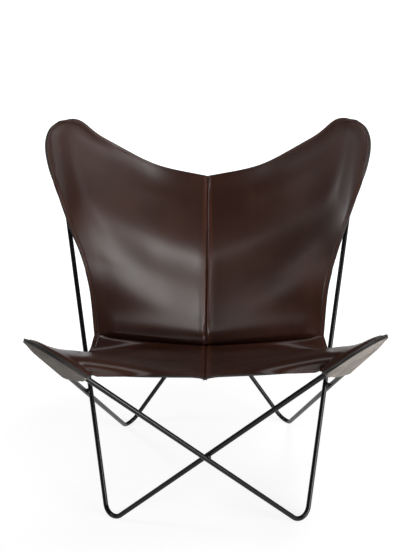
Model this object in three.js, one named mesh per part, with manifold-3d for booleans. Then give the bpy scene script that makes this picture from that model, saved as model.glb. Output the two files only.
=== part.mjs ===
// Butterfly sling chair: two crossed loops of bent steel rod that carry a leather sling by four pockets.
// Millimetres, +Z up, the front faces -Y, and left and right are as seen from the front.
import * as THREE from 'three';
import { mergeVertices } from 'three/addons/utils/BufferGeometryUtils.js';
import Module from 'manifold-3d';

const wasm = await Module();
wasm.setup();

// Driving sizes of the rod frame. Corners are where the centre lines of two straight runs would meet.
const ROD = 12;
const FOOT_BEND = 32;
const FRONT_EAR_BEND = 62;
const BACK_EAR_BEND = 38;
const FRONT_FOOT_X = 244;
const BACK_FOOT_X = 238;
const BACK_FOOT_Y = 510;
const FRONT_EAR_Y = -240;
const FRONT_EAR_Z = 605;
const BACK_EAR_X = 412;
const BACK_EAR_Y = 501;
const BACK_EAR_Z = 948;
const BACK_EAR_LEAN = 7;
const FOOT_FLAT = 0.4;
const WELD_GAP = 0.4;
const WELD_RADIUS = 8.5;
const BUTT_GAP = 0.3;

// Driving sizes of the leather sling.
const LEATHER = 4;
const LAYER_GAP = 0.3;
const POCKET_EASE = 1.2;
const ROD_CLEARANCE = 1.4;
const FRONT_MARGIN = 33;
const BACK_MARGIN = 38;
const STITCH_INSET = 9;
const FRONT_POCKET_FRONT = 214;
const FRONT_POCKET_REAR = 400;
const FRONT_EDGE_RISE = 6;
const BACK_POCKET_SIDE = 346;
const BACK_POCKET_INNER = 260;
const SEAM_FLANGE = 10;
const THREAD = 1;

// Middle of the sling, in the plane x = 0 but for the top of the back, which follows the lean.
const SEAT_FRONT = { y: -194, z: 470 };
const SEAT_SAG = 14;
const CREASE = { y: 240, z: 353 };
const BACK_BULGE = 12;
const BACK_SAG = 14;
const BACK_TOP = { x: 6, y: 546, z: 738 };

// Shape of the free edges, measured inward, back and up from the ear corner that carries them.
const WING_TUCK = 8;
const WING_EDGE = [[20, 158, -108], [38, 243, -157], [67, 373, -224]];
const NOTCH = [108, -323, -580];
const SIDE_EDGE = [[121, -296, -545], [106, -239, -437], [81, -196, -362]];
const SIDE_FLARE = { along: 215, out: 32 };
const EAR_SHOULDER = 10;
const TOP_EDGE = [[129, 27, -98], [261, 42, -175]];

const ROD_SIDES = 12;
const BEND_STEPS = 8;

const v3 = (x, y, z) => new THREE.Vector3(x, y, z);
const sum = (...terms) => terms.reduce((total, [p, k]) => total.addScaledVector(p, k), v3(0, 0, 0));
const unit = (from, to) => to.clone().sub(from).normalize();
const mix = (a, b, t) => a.clone().lerp(b, t);
const smooth = (t) => THREE.MathUtils.smoothstep(t, 0, 1);

// Rounds the corner between two runs: arc centre, in-plane axes, tangent length and half angle.
function bendAt(corner, first, second, radius) {
  const a = unit(corner, first);
  const b = unit(corner, second);
  const half = a.angleTo(b) / 2;
  const inward = a.clone().add(b).normalize();
  return {
    corner, a, b, half, radius,
    tangent: radius / Math.tan(half),
    centre: sum([corner, 1], [inward, radius / Math.sin(half)]),
    out: inward.clone().negate(),
    side: a.clone().sub(b).normalize(),
    normal: a.clone().cross(b).normalize(),
  };
}

// Distance between two lines, positive when the second lies further out along the given way.
function lineGap(p, pWay, q, qWay, outward) {
  const n = pWay.clone().cross(qWay).normalize();
  if (n.dot(outward) < 0) n.negate();
  return q.clone().sub(p).dot(n);
}

// Loop A has its front foot on the left, loop B mirrors it and stands forward by the shift. Both lean a
// little to the right at the back ears.
function loopCorners(lay, hand, shift) {
  const at = (x, y, z) => v3(hand * x, y - shift, z);
  return {
    frontFoot: at(-FRONT_FOOT_X, 0, lay.frontFootZ),
    frontEar: at(lay.frontEarX, FRONT_EAR_Y, FRONT_EAR_Z),
    backFoot: at(BACK_FOOT_X, BACK_FOOT_Y, lay.backFootZ),
    backEar: at(-BACK_EAR_X, BACK_EAR_Y, BACK_EAR_Z).add(v3(BACK_EAR_LEAN, 0, 0)),
  };
}

function loopBends(c) {
  return {
    frontFoot: bendAt(c.frontFoot, c.backEar, c.frontEar, FOOT_BEND),
    frontEar: bendAt(c.frontEar, c.frontFoot, c.backFoot, FRONT_EAR_BEND),
    backFoot: bendAt(c.backFoot, c.frontEar, c.backEar, FOOT_BEND),
    backEar: bendAt(c.backEar, c.backFoot, c.frontFoot, BACK_EAR_BEND),
  };
}

const lowestOfBend = (bend) => bend.centre.z - bend.radius * Math.sqrt(1 - bend.normal.z ** 2);

// Settles the feet on the floor, sets loop B one rod ahead of loop A at the front crossing, and spreads
// the front ears until each diagonal run passes just outside the upright run on its side.
function layOutFrame() {
  const lays = [0, 1].map(() => ({ frontFootZ: 0, backFootZ: 0, frontEarX: BACK_EAR_X }));
  const reach = ROD + WELD_GAP;
  const footHeight = ROD / 2 - FOOT_FLAT;
  let loops = [];
  for (let pass = 0; pass < 40; pass += 1) {
    const rise = FRONT_EAR_Z - lays[0].frontFootZ;
    const shift = reach * Math.hypot(FRONT_EAR_Y, rise) / rise;
    loops = [loopCorners(lays[0], 1, 0), loopCorners(lays[1], -1, shift)];
    lays.forEach((lay, k) => {
      const [own, other] = [loops[k], loops[1 - k]];
      const outward = v3(Math.sign(own.frontEar.x), 0, 0);
      const upright = unit(other.frontFoot, other.backEar);
      const bends = loopBends(own);
      lay.frontEarX += reach - lineGap(other.frontFoot, upright, own.frontEar, unit(own.frontEar, own.backFoot), outward);
      lay.frontFootZ += footHeight - lowestOfBend(bends.frontFoot);
      lay.backFootZ += footHeight - lowestOfBend(bends.backFoot);
    });
  }
  return loops.map((corners) => ({ corners, bends: loopBends(corners) }));
}

const [loopA, loopB] = layOutFrame();

// Materials
const paint = new THREE.MeshStandardMaterial({ color: 0x111112, roughness: 0.4, metalness: 0.3 });
const weldPaint = new THREE.MeshStandardMaterial({ color: 0x151516, roughness: 0.5, metalness: 0.3 });
const grain = new THREE.MeshStandardMaterial({ color: 0x3b2722, roughness: 0.45, metalness: 0 });
const flesh = new THREE.MeshStandardMaterial({ color: 0x8d827a, roughness: 0.9, metalness: 0 });
const thread = new THREE.MeshStandardMaterial({ color: 0x4a352c, roughness: 0.7, metalness: 0 });

const chair = new THREE.Group();

function add(name, geometry, material) {
  const mesh = new THREE.Mesh(geometry, material);
  mesh.name = name;
  chair.add(mesh);
  return mesh;
}

// Solid cuts
function toManifold(geometry) {
  const bare = geometry.clone();
  for (const key of Object.keys(bare.attributes)) if (key !== 'position') bare.deleteAttribute(key);
  const merged = mergeVertices(bare, 1e-4);
  return new wasm.Manifold(new wasm.Mesh({
    numProp: 3,
    vertProperties: new Float32Array(merged.attributes.position.array),
    triVerts: new Uint32Array(merged.index.array),
  }));
}

function fromManifold(solid) {
  const mesh = solid.getMesh();
  const geometry = new THREE.BufferGeometry();
  geometry.setAttribute('position', new THREE.BufferAttribute(new Float32Array(mesh.vertProperties), 3));
  geometry.setIndex(new THREE.BufferAttribute(new Uint32Array(mesh.triVerts), 1));
  geometry.computeVertexNormals();
  return geometry;
}

// Rod pieces
function barGeometry(from, to, radius) {
  const length = from.distanceTo(to);
  const bar = new THREE.CylinderGeometry(radius, radius, length, ROD_SIDES);
  bar.applyQuaternion(new THREE.Quaternion().setFromUnitVectors(v3(0, 1, 0), unit(from, to)));
  const middle = mix(from, to, 0.5);
  return bar.translate(middle.x, middle.y, middle.z);
}

class BendCurve extends THREE.Curve {
  constructor(bend) {
    super();
    this.bend = bend;
    this.sweep = Math.PI / 2 - bend.half;
  }

  getPoint(t, target = new THREE.Vector3()) {
    const { centre, out, side, radius } = this.bend;
    const angle = this.sweep * (2 * t - 1);
    return target.copy(centre).addScaledVector(out, radius * Math.cos(angle)).addScaledVector(side, radius * Math.sin(angle));
  }
}

function bendGeometry(bend) {
  const section = new THREE.Shape().absarc(0, 0, ROD / 2, 0, 2 * Math.PI);
  return new THREE.ExtrudeGeometry(section, {
    steps: BEND_STEPS, curveSegments: ROD_SIDES / 2, bevelEnabled: false, extrudePath: new BendCurve(bend),
  });
}

// A foot is filed flat where it meets the floor.
function footGeometry(bend) {
  const depth = 4 * ROD;
  const below = new THREE.BoxGeometry(20 * ROD, 20 * ROD, depth).translate(bend.centre.x, bend.centre.y, -depth / 2);
  return fromManifold(toManifold(bendGeometry(bend)).subtract(toManifold(below)));
}

function run(from, to) {
  const way = unit(from.corner, to.corner);
  return {
    way,
    start: sum([from.corner, 1], [way, from.tangent + BUTT_GAP]),
    end: sum([to.corner, 1], [way, -to.tangent - BUTT_GAP]),
  };
}

function buildLoop(loop, near, far, letter) {
  const { frontFoot, frontEar, backFoot, backEar } = loop.bends;
  const runs = {
    front: run(frontFoot, frontEar),
    diagonal: run(frontEar, backFoot),
    back: run(backFoot, backEar),
    upright: run(backEar, frontFoot),
  };
  add(`front_rod_${letter}`, barGeometry(runs.front.start, runs.front.end, ROD / 2), paint);
  add(`diagonal_rod_${far}`, barGeometry(runs.diagonal.start, runs.diagonal.end, ROD / 2), paint);
  add(`back_rod_${letter}`, barGeometry(runs.back.start, runs.back.end, ROD / 2), paint);
  add(`upright_rod_${near}`, barGeometry(runs.upright.start, runs.upright.end, ROD / 2), paint);
  add(`front_foot_${near}`, footGeometry(frontFoot), paint);
  add(`front_ear_${far}`, bendGeometry(frontEar), paint);
  add(`back_foot_${far}`, footGeometry(backFoot), paint);
  add(`back_ear_${near}`, bendGeometry(backEar), paint);
  return runs;
}

const runsA = buildLoop(loopA, 'left', 'right', 'a');
const runsB = buildLoop(loopB, 'right', 'left', 'b');

// A weld bead fills the corner between two rods that touch, and is cut to their shape.
function weldBead(first, second) {
  const n = first.way.clone().cross(second.way).normalize();
  const gap = second.start.clone().sub(first.start);
  const side = second.way.clone().cross(n);
  const along = gap.dot(side) / first.way.dot(side);
  const onFirst = sum([first.start, 1], [first.way, along]);
  const centre = sum([onFirst, 1], [n, gap.dot(n) / 2]);
  const bead = new THREE.SphereGeometry(WELD_RADIUS, 16, 10).translate(centre.x, centre.y, centre.z);
  const cut = (line) => toManifold(barGeometry(line.start, line.end, ROD / 2 + BUTT_GAP));
  return fromManifold(toManifold(bead).subtract(cut(first)).subtract(cut(second)));
}

add('front_cross_weld', weldBead(runsA.front, runsB.front), weldPaint);
add('back_cross_weld', weldBead(runsA.back, runsB.back), weldPaint);
add('left_cross_weld', weldBead(runsA.upright, runsB.diagonal), weldPaint);
add('right_cross_weld', weldBead(runsB.upright, runsA.diagonal), weldPaint);

// The sling. An ear frame tells how far a point lies outside the rod and how high above its plane.
const LIFT = ROD / 2 + LEATHER / 2 + ROD_CLEARANCE;
const LAYER = LEATHER + LAYER_GAP;
const RAMP_START = ROD + 4;
const PANEL_RAMP = 8;
const POCKET_RAMP = 4.5;

function earFrame(bend, margin, hand, faces) {
  const facing = bend.normal.clone().multiplyScalar(Math.sign(bend.normal.dot(faces)));
  const outer = bend.side.clone().multiplyScalar(Math.sign(bend.side.x * hand));
  return { ...bend, margin, facing, outer };
}

// Ways out of the ear, square to its outer and its inner rod.
const sideWay = (ear) => sum([ear.out, Math.sin(ear.half)], [ear.outer, Math.cos(ear.half)]);
const innerWay = (ear) => sum([ear.out, Math.sin(ear.half)], [ear.outer, -Math.cos(ear.half)]);

const heightOver = (ear, p) => p.clone().sub(ear.centre).dot(ear.facing);

function outsideRod(ear, p) {
  const d = p.clone().sub(ear.centre);
  const along = d.dot(ear.out);
  const across = Math.abs(d.dot(ear.side));
  const pastBend = along * Math.cos(ear.half) - across * Math.sin(ear.half) > 0;
  const reach = pastBend ? Math.hypot(along, across) : along * Math.sin(ear.half) + across * Math.cos(ear.half);
  return reach - ear.radius;
}

// Leather that lies over the rod is held off it, rising from beside the rod to full height over it:
// sign 1 is above the ear plane, -1 below it.
function clearOf(ear, p, sign, ramp) {
  const need = LIFT * smooth((RAMP_START - outsideRod(ear, p)) / ramp);
  const lack = need - sign * heightOver(ear, p);
  return need > 0 && lack > 0 ? sum([p, 1], [ear.facing, sign * lack]) : p;
}

// A point on the leather's round end, at an angle from the way the ear points.
function roundEnd(ear, degrees, extra = 0) {
  const angle = THREE.MathUtils.degToRad(degrees);
  const reach = ear.radius + ear.margin + extra;
  return sum(
    [ear.centre, 1], [ear.out, reach * Math.cos(angle)], [ear.outer, reach * Math.sin(angle)], [ear.facing, LAYER / 2],
  );
}

const spline = (points) => new THREE.CatmullRomCurve3(points, false, 'catmullrom', 0.5);

// Edge curves of one half of the sling; hand is -1 on the left and 1 on the right.
function halfOutline(hand, frontBend, backBend) {
  const front = earFrame(frontBend, FRONT_MARGIN, hand, v3(0, 0, 1));
  const back = earFrame(backBend, BACK_MARGIN, hand, v3(0, -1, 0));
  const from = (ear, [inward, rear, up]) => v3(ear.corner.x - hand * inward, ear.corner.y + rear, ear.corner.z + up);
  const onRod = (ear, way, along, height) => sum([ear.corner, 1], [way, along], [ear.facing, height]);

  const seamFront = v3(0, SEAT_FRONT.y, SEAT_FRONT.z);
  const seamCrease = v3(0, CREASE.y, CREASE.z);
  const seamTop = v3(BACK_TOP.x, BACK_TOP.y, BACK_TOP.z);
  const overRod = onRod(front, front.a, FRONT_POCKET_FRONT, LIFT + FRONT_EDGE_RISE);
  const wingFlank = roundEnd(front, -80);
  const creaseEnd = from(back, SIDE_EDGE[0]);
  const flare = onRod(back, back.b, SIDE_FLARE.along, LAYER / 2).addScaledVector(sideWay(back), SIDE_FLARE.out);
  const tip = roundEnd(back, 0);
  const lean = unit(seamCrease, seamTop);
  const forward = v3(0, -lean.z, lean.y).normalize();

  return {
    front, back, onRod,
    frontEdge: spline([seamFront, mix(seamFront, overRod, 0.5), overRod, mix(overRod, wingFlank, 0.5), wingFlank]),
    wingEdge: spline([
      wingFlank, roundEnd(front, -40), roundEnd(front, 0), roundEnd(front, 45), roundEnd(front, 90, -WING_TUCK),
      ...WING_EDGE.map((p) => from(front, p)), from(back, NOTCH), creaseEnd,
    ]),
    crease: spline([seamCrease, mix(seamCrease, creaseEnd, 0.5), creaseEnd]),
    sideEdge: spline([
      ...SIDE_EDGE.map((p) => from(back, p)), onRod(back, back.b, BACK_POCKET_SIDE, LIFT), flare,
      roundEnd(back, 72), roundEnd(back, 36), tip,
    ]),
    topEdge: spline([seamTop, from(back, TOP_EDGE[1]), from(back, TOP_EDGE[0]), roundEnd(back, -45, EAR_SHOULDER), tip]),
    seatSeam: spline([seamFront, mix(seamFront, seamCrease, 0.5).add(v3(0, 0, -SEAT_SAG)), seamCrease]),
    backSeam: spline([
      seamCrease,
      mix(seamCrease, seamTop, 0.12).addScaledVector(forward, BACK_BULGE),
      mix(seamCrease, seamTop, 0.55).addScaledVector(forward, -BACK_SAG),
      seamTop,
    ]),
  };
}

// A patch stretched between four edges; u runs from the seam outward, v from the low edge to the high one.
function patch(low, high, seam, outer) {
  const corner = { a: low.getPoint(0), b: low.getPoint(1), c: high.getPoint(0), d: high.getPoint(1) };
  return (u, v) => sum(
    [low.getPointAt(u), 1 - v], [high.getPointAt(u), v], [seam.getPointAt(v), 1 - u], [outer.getPoint(v), u],
    [corner.a, -(1 - u) * (1 - v)], [corner.b, -u * (1 - v)], [corner.c, -(1 - u) * v], [corner.d, -u * v],
  );
}

// Rows of the grid as steps along the wing edge and the side edge, columns as distances from seam and edge.
const SEAT_ROWS = [0, 0.25, 0.5, 1, 1.5, 2, 2.5, 3, 3.5, 4, 5, 6, 7, 7.5, 8, 8.5];
const BACK_ROWS = [0, 0.15, 0.4, 0.8, 1.3, 2, 2.6, 3, 3.5, 4, 4.5, 5, 5.5, 5.78, 6, 6.4, 6.7, 6.86, 7];
const WING_STEPS = 9;
const SIDE_STEPS = 7;
const SEAM_COLUMNS = [LEATHER / 2 + LAYER_GAP, LEATHER + LAYER_GAP, 1.6 * LEATHER, 4 * LEATHER];
const SEAM_DROP = [1.2 * LEATHER, 0.35 * LEATHER, 0, 0];
const INNER_COLUMNS = [0.12, 0.27, 0.43, 0.6, 0.8];
const NARROW_MARGIN = RAMP_START + STITCH_INSET + LEATHER;
const edgeColumns = (margin) => [margin + 1.3 * ROD, margin - ROD / 4, margin - RAMP_START, STITCH_INSET, 0];

// Places in the grid that other pieces follow.
const COLUMN = { lip: 0, turn: 1, inner: 5, band: 10, rod: 11, strip: 12, stitch: 13, edge: 14 };
const ROW = { front: 0, wingEnd: 12, notch: 13, crease: 16, stripEnd: 21, backPocket: 25, top: 34 };

// How far along a line the leather has come in to a given distance outside the rod.
function reachRod(ear, from, to, distance) {
  let [low, high] = [0, 1];
  for (let pass = 0; pass < 24; pass += 1) {
    const t = (low + high) / 2;
    if (outsideRod(ear, mix(from, to, t)) > distance) low = t;
    else high = t;
  }
  return high;
}

function halfGrid(outline, hand) {
  const { front, back } = outline;
  const seat = patch(outline.frontEdge, outline.crease, outline.seatSeam, outline.wingEdge);
  const rest = patch(outline.crease, outline.topEdge, outline.backSeam, outline.sideEdge);
  const rowAt = (surface, v, ear) => {
    const length = surface(0, v).distanceTo(surface(1, v));
    const inner = SEAM_COLUMNS.at(-1);
    const border = edgeColumns(THREE.MathUtils.clamp(outsideRod(ear, surface(1, v)), NARROW_MARGIN, ear.margin));
    const spare = length - inner - border[0];
    const distances = [
      ...SEAM_COLUMNS, ...INNER_COLUMNS.map((f) => inner + spare * f), ...border.map((d) => length - d),
    ];
    return distances.map((d) => clearOf(back, clearOf(front, surface(d / length, v), 1, PANEL_RAMP), 1, PANEL_RAMP));
  };
  const lines = [
    ...SEAT_ROWS.map((k) => [seat, k / WING_STEPS, k < SEAT_ROWS[ROW.wingEnd] ? front : back]),
    ...BACK_ROWS.map((k) => [rest, k / SIDE_STEPS, back]),
  ];
  const rows = lines.map(([surface, v, ear]) => rowAt(surface, v, ear));
  const seamX = lines.map(([surface, v]) => surface(0, v).x);
  // along the middle the leather turns down behind itself into the seam
  const normals = gridNormals(rows, hand);
  return rows.map((row, i) => {
    const down = normals[i][SEAM_COLUMNS.length].clone().setX(0).normalize().negate();
    const turned = row.map((p, j) => {
      if (j >= SEAM_COLUMNS.length) return p;
      return sum([p, 1], [down, SEAM_DROP[j]]).setX(seamX[i] + hand * SEAM_COLUMNS[j]);
    });
    return [sum([turned[0], 1], [down, SEAM_FLANGE - SEAM_DROP[0]]), ...turned];
  });
}

// Vertex normals of a grid, lengthened across a fold so that the leather keeps its thickness.
function gridNormals(rows, sign) {
  const faces = rows.slice(1).map((row, i) => row.slice(1).map((p, j) => {
    const a = p.clone().sub(rows[i][j]);
    const b = row[j].clone().sub(rows[i][j + 1]);
    return a.cross(b).multiplyScalar(sign).normalize();
  }));
  return rows.map((row, i) => row.map((_, j) => {
    const near = [[i - 1, j - 1], [i - 1, j], [i, j - 1], [i, j]]
      .filter(([r, c]) => faces[r] !== undefined && faces[r][c] !== undefined)
      .map(([r, c]) => faces[r][c]);
    const n = near.reduce((total, f) => total.add(f), v3(0, 0, 0)).normalize();
    const least = Math.min(...near.map((f) => f.dot(n)));
    return n.divideScalar(Math.max(least, 0.6));
  }));
}

const offsetGrid = (rows, normals, distance) => rows.map(
  (row, i) => row.map((p, j) => sum([p, 1], [normals[i][j], distance])),
);

// A sheet of leather: a grid thickened to both sides and closed round its rim.
function sheetGeometry(rows) {
  const normals = gridNormals(rows, 1);
  const faces = [offsetGrid(rows, normals, LEATHER / 2), offsetGrid(rows, normals, -LEATHER / 2)];
  const wide = rows[0].length;
  const high = rows.length;
  const count = wide * high;
  const index = [];
  const quad = (a, b, c, d) => index.push(a, b, c, a, c, d);
  for (let i = 0; i + 1 < high; i += 1) {
    for (let j = 0; j + 1 < wide; j += 1) {
      const ring = [i * wide + j, i * wide + j + 1, (i + 1) * wide + j + 1, (i + 1) * wide + j];
      // each cell is split along its shorter diagonal, so layers that lie together split alike
      const turn = rows[i][j].distanceTo(rows[i + 1][j + 1]) > rows[i][j + 1].distanceTo(rows[i + 1][j]);
      const [a, b, c, d] = turn ? [ring[1], ring[2], ring[3], ring[0]] : ring;
      quad(a, b, c, d);
      quad(count + c, count + b, count + a, count + d);
    }
  }
  const rim = [];
  for (let j = 0; j < wide; j += 1) rim.push(j);
  for (let i = 1; i < high; i += 1) rim.push(i * wide + wide - 1);
  for (let j = wide - 2; j >= 0; j -= 1) rim.push((high - 1) * wide + j);
  for (let i = high - 2; i > 0; i -= 1) rim.push(i * wide);
  rim.forEach((k, n) => {
    const next = rim[(n + 1) % rim.length];
    quad(k, count + k, count + next, next);
  });
  const geometry = new THREE.BufferGeometry();
  geometry.setAttribute('position', new THREE.Float32BufferAttribute(faces.flat(2).flatMap((p) => p.toArray()), 3));
  geometry.setIndex(index);
  geometry.computeVertexNormals();
  return geometry;
}

// A thread lies along given points, one straight stretch from each to the next.
class ThreadCurve extends THREE.Curve {
  constructor(points) {
    super();
    this.points = points;
  }

  getPoint(t, target = new THREE.Vector3()) {
    const place = t * (this.points.length - 1);
    const k = Math.min(Math.floor(place), this.points.length - 2);
    return target.lerpVectors(this.points[k], this.points[k + 1], place - k);
  }

  getPointAt(t, target) {
    return this.getPoint(t, target);
  }

  getTangentAt(t, target = new THREE.Vector3()) {
    const k = Math.round(t * (this.points.length - 1));
    const before = this.points[Math.max(k - 1, 0)];
    const after = this.points[Math.min(k + 1, this.points.length - 1)];
    return target.subVectors(after, before).normalize();
  }
}

function threadGeometry(points) {
  const section = new THREE.Shape().absarc(0, 0, THREAD / 2, 0, 2 * Math.PI);
  return new THREE.ExtrudeGeometry(section, {
    steps: points.length - 1, curveSegments: 3, bevelEnabled: false, extrudePath: new ThreadCurve(points),
  });
}

// A pocket is sewn to the panel along its edge, passes under the rods and ends in an open mouth.
const POCKET_BANDS = [0.25, 0.6, 1.1, 4].map((t) => RAMP_START - t * POCKET_RAMP);
const POCKET_STEPS = [0.3, 0.65, 1];
const MOUTH_RISE = 0.3;

// The mouth runs straight under the rods from one point to the other, then rises to the end of the stitching.
function pocketGrid(edge, inner, mouth, ear) {
  const last = edge.length - 1;
  return edge.map((p, i) => {
    const end = i < last ? mix(mouth.from, mouth.to, i / (last - 1)) : mix(inner[i], mouth.to, MOUTH_RISE);
    const bands = POCKET_BANDS.map((distance, n) => THREE.MathUtils.clamp(
      reachRod(ear, inner[i], end, distance), 0.012 * (n + 1), 1 - 0.4 * 0.6 ** n,
    ));
    const steps = [...bands, ...POCKET_STEPS.map((t) => THREE.MathUtils.lerp(bands.at(-1), 1, t))];
    return [p, inner[i], ...steps.map((t) => clearOf(ear, mix(inner[i], end, t), -1, POCKET_RAMP))];
  });
}

const range = (from, to) => Array.from({ length: Math.abs(to - from) + 1 }, (_, k) => from + k * Math.sign(to - from));

function buildHalf(hand, name, frontBend, backBend) {
  const outline = halfOutline(hand, frontBend, backBend);
  const { front, back, onRod } = outline;
  const grid = halfGrid(outline, hand);
  const normals = gridNormals(grid, hand);
  const behind = offsetGrid(grid, normals, -LAYER);
  const eased = offsetGrid(grid, normals, -LAYER - POCKET_EASE);
  const at = (rows, places) => places.map(([i, j]) => rows[i][j]);
  add(`sling_panel_${name}`, sheetGeometry(grid), grain);

  const wingRows = range(ROW.front + 2, ROW.wingEnd);
  const frontColumns = [COLUMN.rod, COLUMN.strip];
  const frontEdge = at(behind, [
    ...frontColumns.map((j) => [0, j]), [0, COLUMN.edge], ...wingRows.map((i) => [i, COLUMN.edge]),
  ]);
  const frontInner = at(eased, [
    ...frontColumns.map((j) => [1, j]), [1, COLUMN.stitch], ...wingRows.map((i) => [i, COLUMN.stitch]),
  ]);
  const frontMouth = {
    from: onRod(front, front.a, FRONT_POCKET_FRONT - 2 * LIFT, -LIFT),
    to: onRod(front, front.b, FRONT_POCKET_REAR, -LIFT).addScaledVector(sideWay(front), LIFT),
  };
  add(`front_pocket_${name}`, sheetGeometry(pocketGrid(frontEdge, frontInner, frontMouth, front)), flesh);

  const earRows = range(ROW.backPocket, ROW.top - 2);
  const topColumns = range(COLUMN.strip, COLUMN.band - 2);
  const backEdge = at(behind, [
    ...earRows.map((i) => [i, COLUMN.edge]), [ROW.top, COLUMN.edge], ...topColumns.map((j) => [ROW.top, j]),
  ]);
  const backInner = at(eased, [
    ...earRows.map((i) => [i, COLUMN.stitch]), [ROW.top - 1, COLUMN.stitch], ...topColumns.map((j) => [ROW.top - 1, j]),
  ]);
  const backMouth = {
    from: onRod(back, back.b, BACK_POCKET_SIDE - 2 * BACK_MARGIN, -LIFT),
    to: onRod(back, back.a, BACK_POCKET_INNER, -LIFT).addScaledVector(innerWay(back), LIFT),
  };
  add(`back_pocket_${name}`, sheetGeometry(pocketGrid(backEdge, backInner, backMouth, back)), flesh);

  const strip = range(ROW.notch, ROW.stripEnd).map((i) => behind[i].slice(COLUMN.strip));
  add(`side_strip_${name}`, sheetGeometry(strip), flesh);

  const onTop = offsetGrid(grid, normals, LEATHER / 2 + 1.5 * LAYER_GAP + THREAD / 2);
  const sewn = range(ROW.front + 2, ROW.top - 2).map((i) => onTop[i][COLUMN.stitch]);
  add(`edge_thread_${name}`, threadGeometry(sewn), thread);
  return grid;
}

const leftGrid = buildHalf(-1, 'left', loopB.bends.frontEar, loopA.bends.backEar);
buildHalf(1, 'right', loopA.bends.frontEar, loopB.bends.backEar);

// The seam thread runs along the outside of the left turned-in edge, under the seat and behind the back.
const seamSide = v3(-(LEATHER / 2 + LAYER_GAP + THREAD / 2), 0, 0);
const seamRow = leftGrid.map((row) => mix(row[COLUMN.lip], row[COLUMN.turn], 0.4).add(seamSide));
add('seam_thread', threadGeometry(seamRow), thread);

// The origin is on the floor under the middle of the chair.
const box = new THREE.Box3().setFromObject(chair);
const middle = box.getCenter(v3(0, 0, 0));
chair.position.set(-middle.x, -middle.y, -box.min.z);
chair.updateMatrixWorld(true);

export default chair;
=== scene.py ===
# %% [markdown]
# # A butterfly sling chair
# The chair is two closed loops of bent steel rod, welded where they cross, and a saddle-leather sling
# that slips over the four ears of the rods by sewn pockets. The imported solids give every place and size,
# so the lesson starts by loading them and keeping their box. All the shapes below are worked out in
# millimetres, as a maker would measure them, and turned into metres when a mesh is made.

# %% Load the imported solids
import math

import bmesh
import bpy
import numpy as np
from mathutils import Matrix, Vector, bvhtree, kdtree, noise


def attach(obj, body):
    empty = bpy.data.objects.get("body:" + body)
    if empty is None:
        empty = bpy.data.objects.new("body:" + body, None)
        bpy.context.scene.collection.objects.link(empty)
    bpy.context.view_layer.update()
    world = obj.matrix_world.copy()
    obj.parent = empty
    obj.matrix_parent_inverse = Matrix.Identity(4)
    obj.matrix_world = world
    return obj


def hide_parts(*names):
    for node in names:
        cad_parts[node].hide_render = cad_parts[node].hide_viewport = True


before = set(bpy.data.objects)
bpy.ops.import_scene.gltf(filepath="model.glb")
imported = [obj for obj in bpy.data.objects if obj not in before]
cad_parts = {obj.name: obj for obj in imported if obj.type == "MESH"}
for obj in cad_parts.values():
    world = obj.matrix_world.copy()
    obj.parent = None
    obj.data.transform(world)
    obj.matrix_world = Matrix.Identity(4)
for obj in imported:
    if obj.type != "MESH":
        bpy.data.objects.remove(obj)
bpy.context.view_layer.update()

# %% [markdown]
# ## Camera
# The photograph was taken from the front with a normal lens, from above the top of the back and looking
# down at the seat. The place, in metres, and the tilt were found by matching the rods of the solids to
# the rods in the picture. The picture is 552 pixels high and the lens spans 900 pixels, so with a 24 mm
# high sensor the lens follows from those two.

# %% Camera
PHOTO_HEIGHT = 552
LENS_PIXELS = 900
SENSOR = 24
EYE = Vector((0.0092, -2.0726, 1.2751))
PITCH = math.radians(18.65)
YAW = math.radians(-0.315)
ROLL = math.radians(-0.422)

camera_data = bpy.data.cameras.new("camera")
camera_data.sensor_fit = "VERTICAL"
camera_data.sensor_height = SENSOR
camera_data.lens = LENS_PIXELS * SENSOR / PHOTO_HEIGHT
camera = bpy.data.objects.new("camera", camera_data)
bpy.context.scene.collection.objects.link(camera)
turn = Matrix.Rotation(-YAW, 4, "Z") @ Matrix.Rotation(math.pi / 2 - PITCH, 4, "X")
camera.matrix_world = Matrix.Translation(EYE) @ turn @ Matrix.Rotation(ROLL, 4, "Z")
bpy.context.scene.camera = camera
print("lens", round(camera_data.lens, 2), "mm")

# %% [markdown]
# ## Rod frame on paper
# Each loop has four corners: a front foot, a front ear, a back foot and a back ear on alternating
# sides. The second loop mirrors the first and stands one rod further forward, so the loops touch at
# four crossings. These are the same sizes and the same steps as in the solids: the corners are moved
# a little in each round, until the feet stand on the floor and the loops touch at the sides.

# %% Rod sizes
ROD = 12
FOOT_BEND = 32
FRONT_EAR_BEND = 62
BACK_EAR_BEND = 38
FRONT_FOOT_X = 244
BACK_FOOT_X = 238
BACK_FOOT_Y = 510
FRONT_EAR_Y = -240
FRONT_EAR_Z = 605
BACK_EAR_X = 412
BACK_EAR_Y = 501
BACK_EAR_Z = 948
BACK_EAR_LEAN = 7
FOOT_FLAT = 0.4
WELD_GAP = 0.4


# %% Small sums on points
def vec(x, y, z):
    return np.array([x, y, z], float)


def unit(v):
    return v / np.linalg.norm(v, axis=-1, keepdims=True)


def mix(a, b, t):
    return a + (b - a) * t


def smooth(t):
    """Goes from 0 to 1 with a soft start and a soft end."""
    t = np.clip(t, 0.0, 1.0)
    return t * t * (3 - 2 * t)


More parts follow.
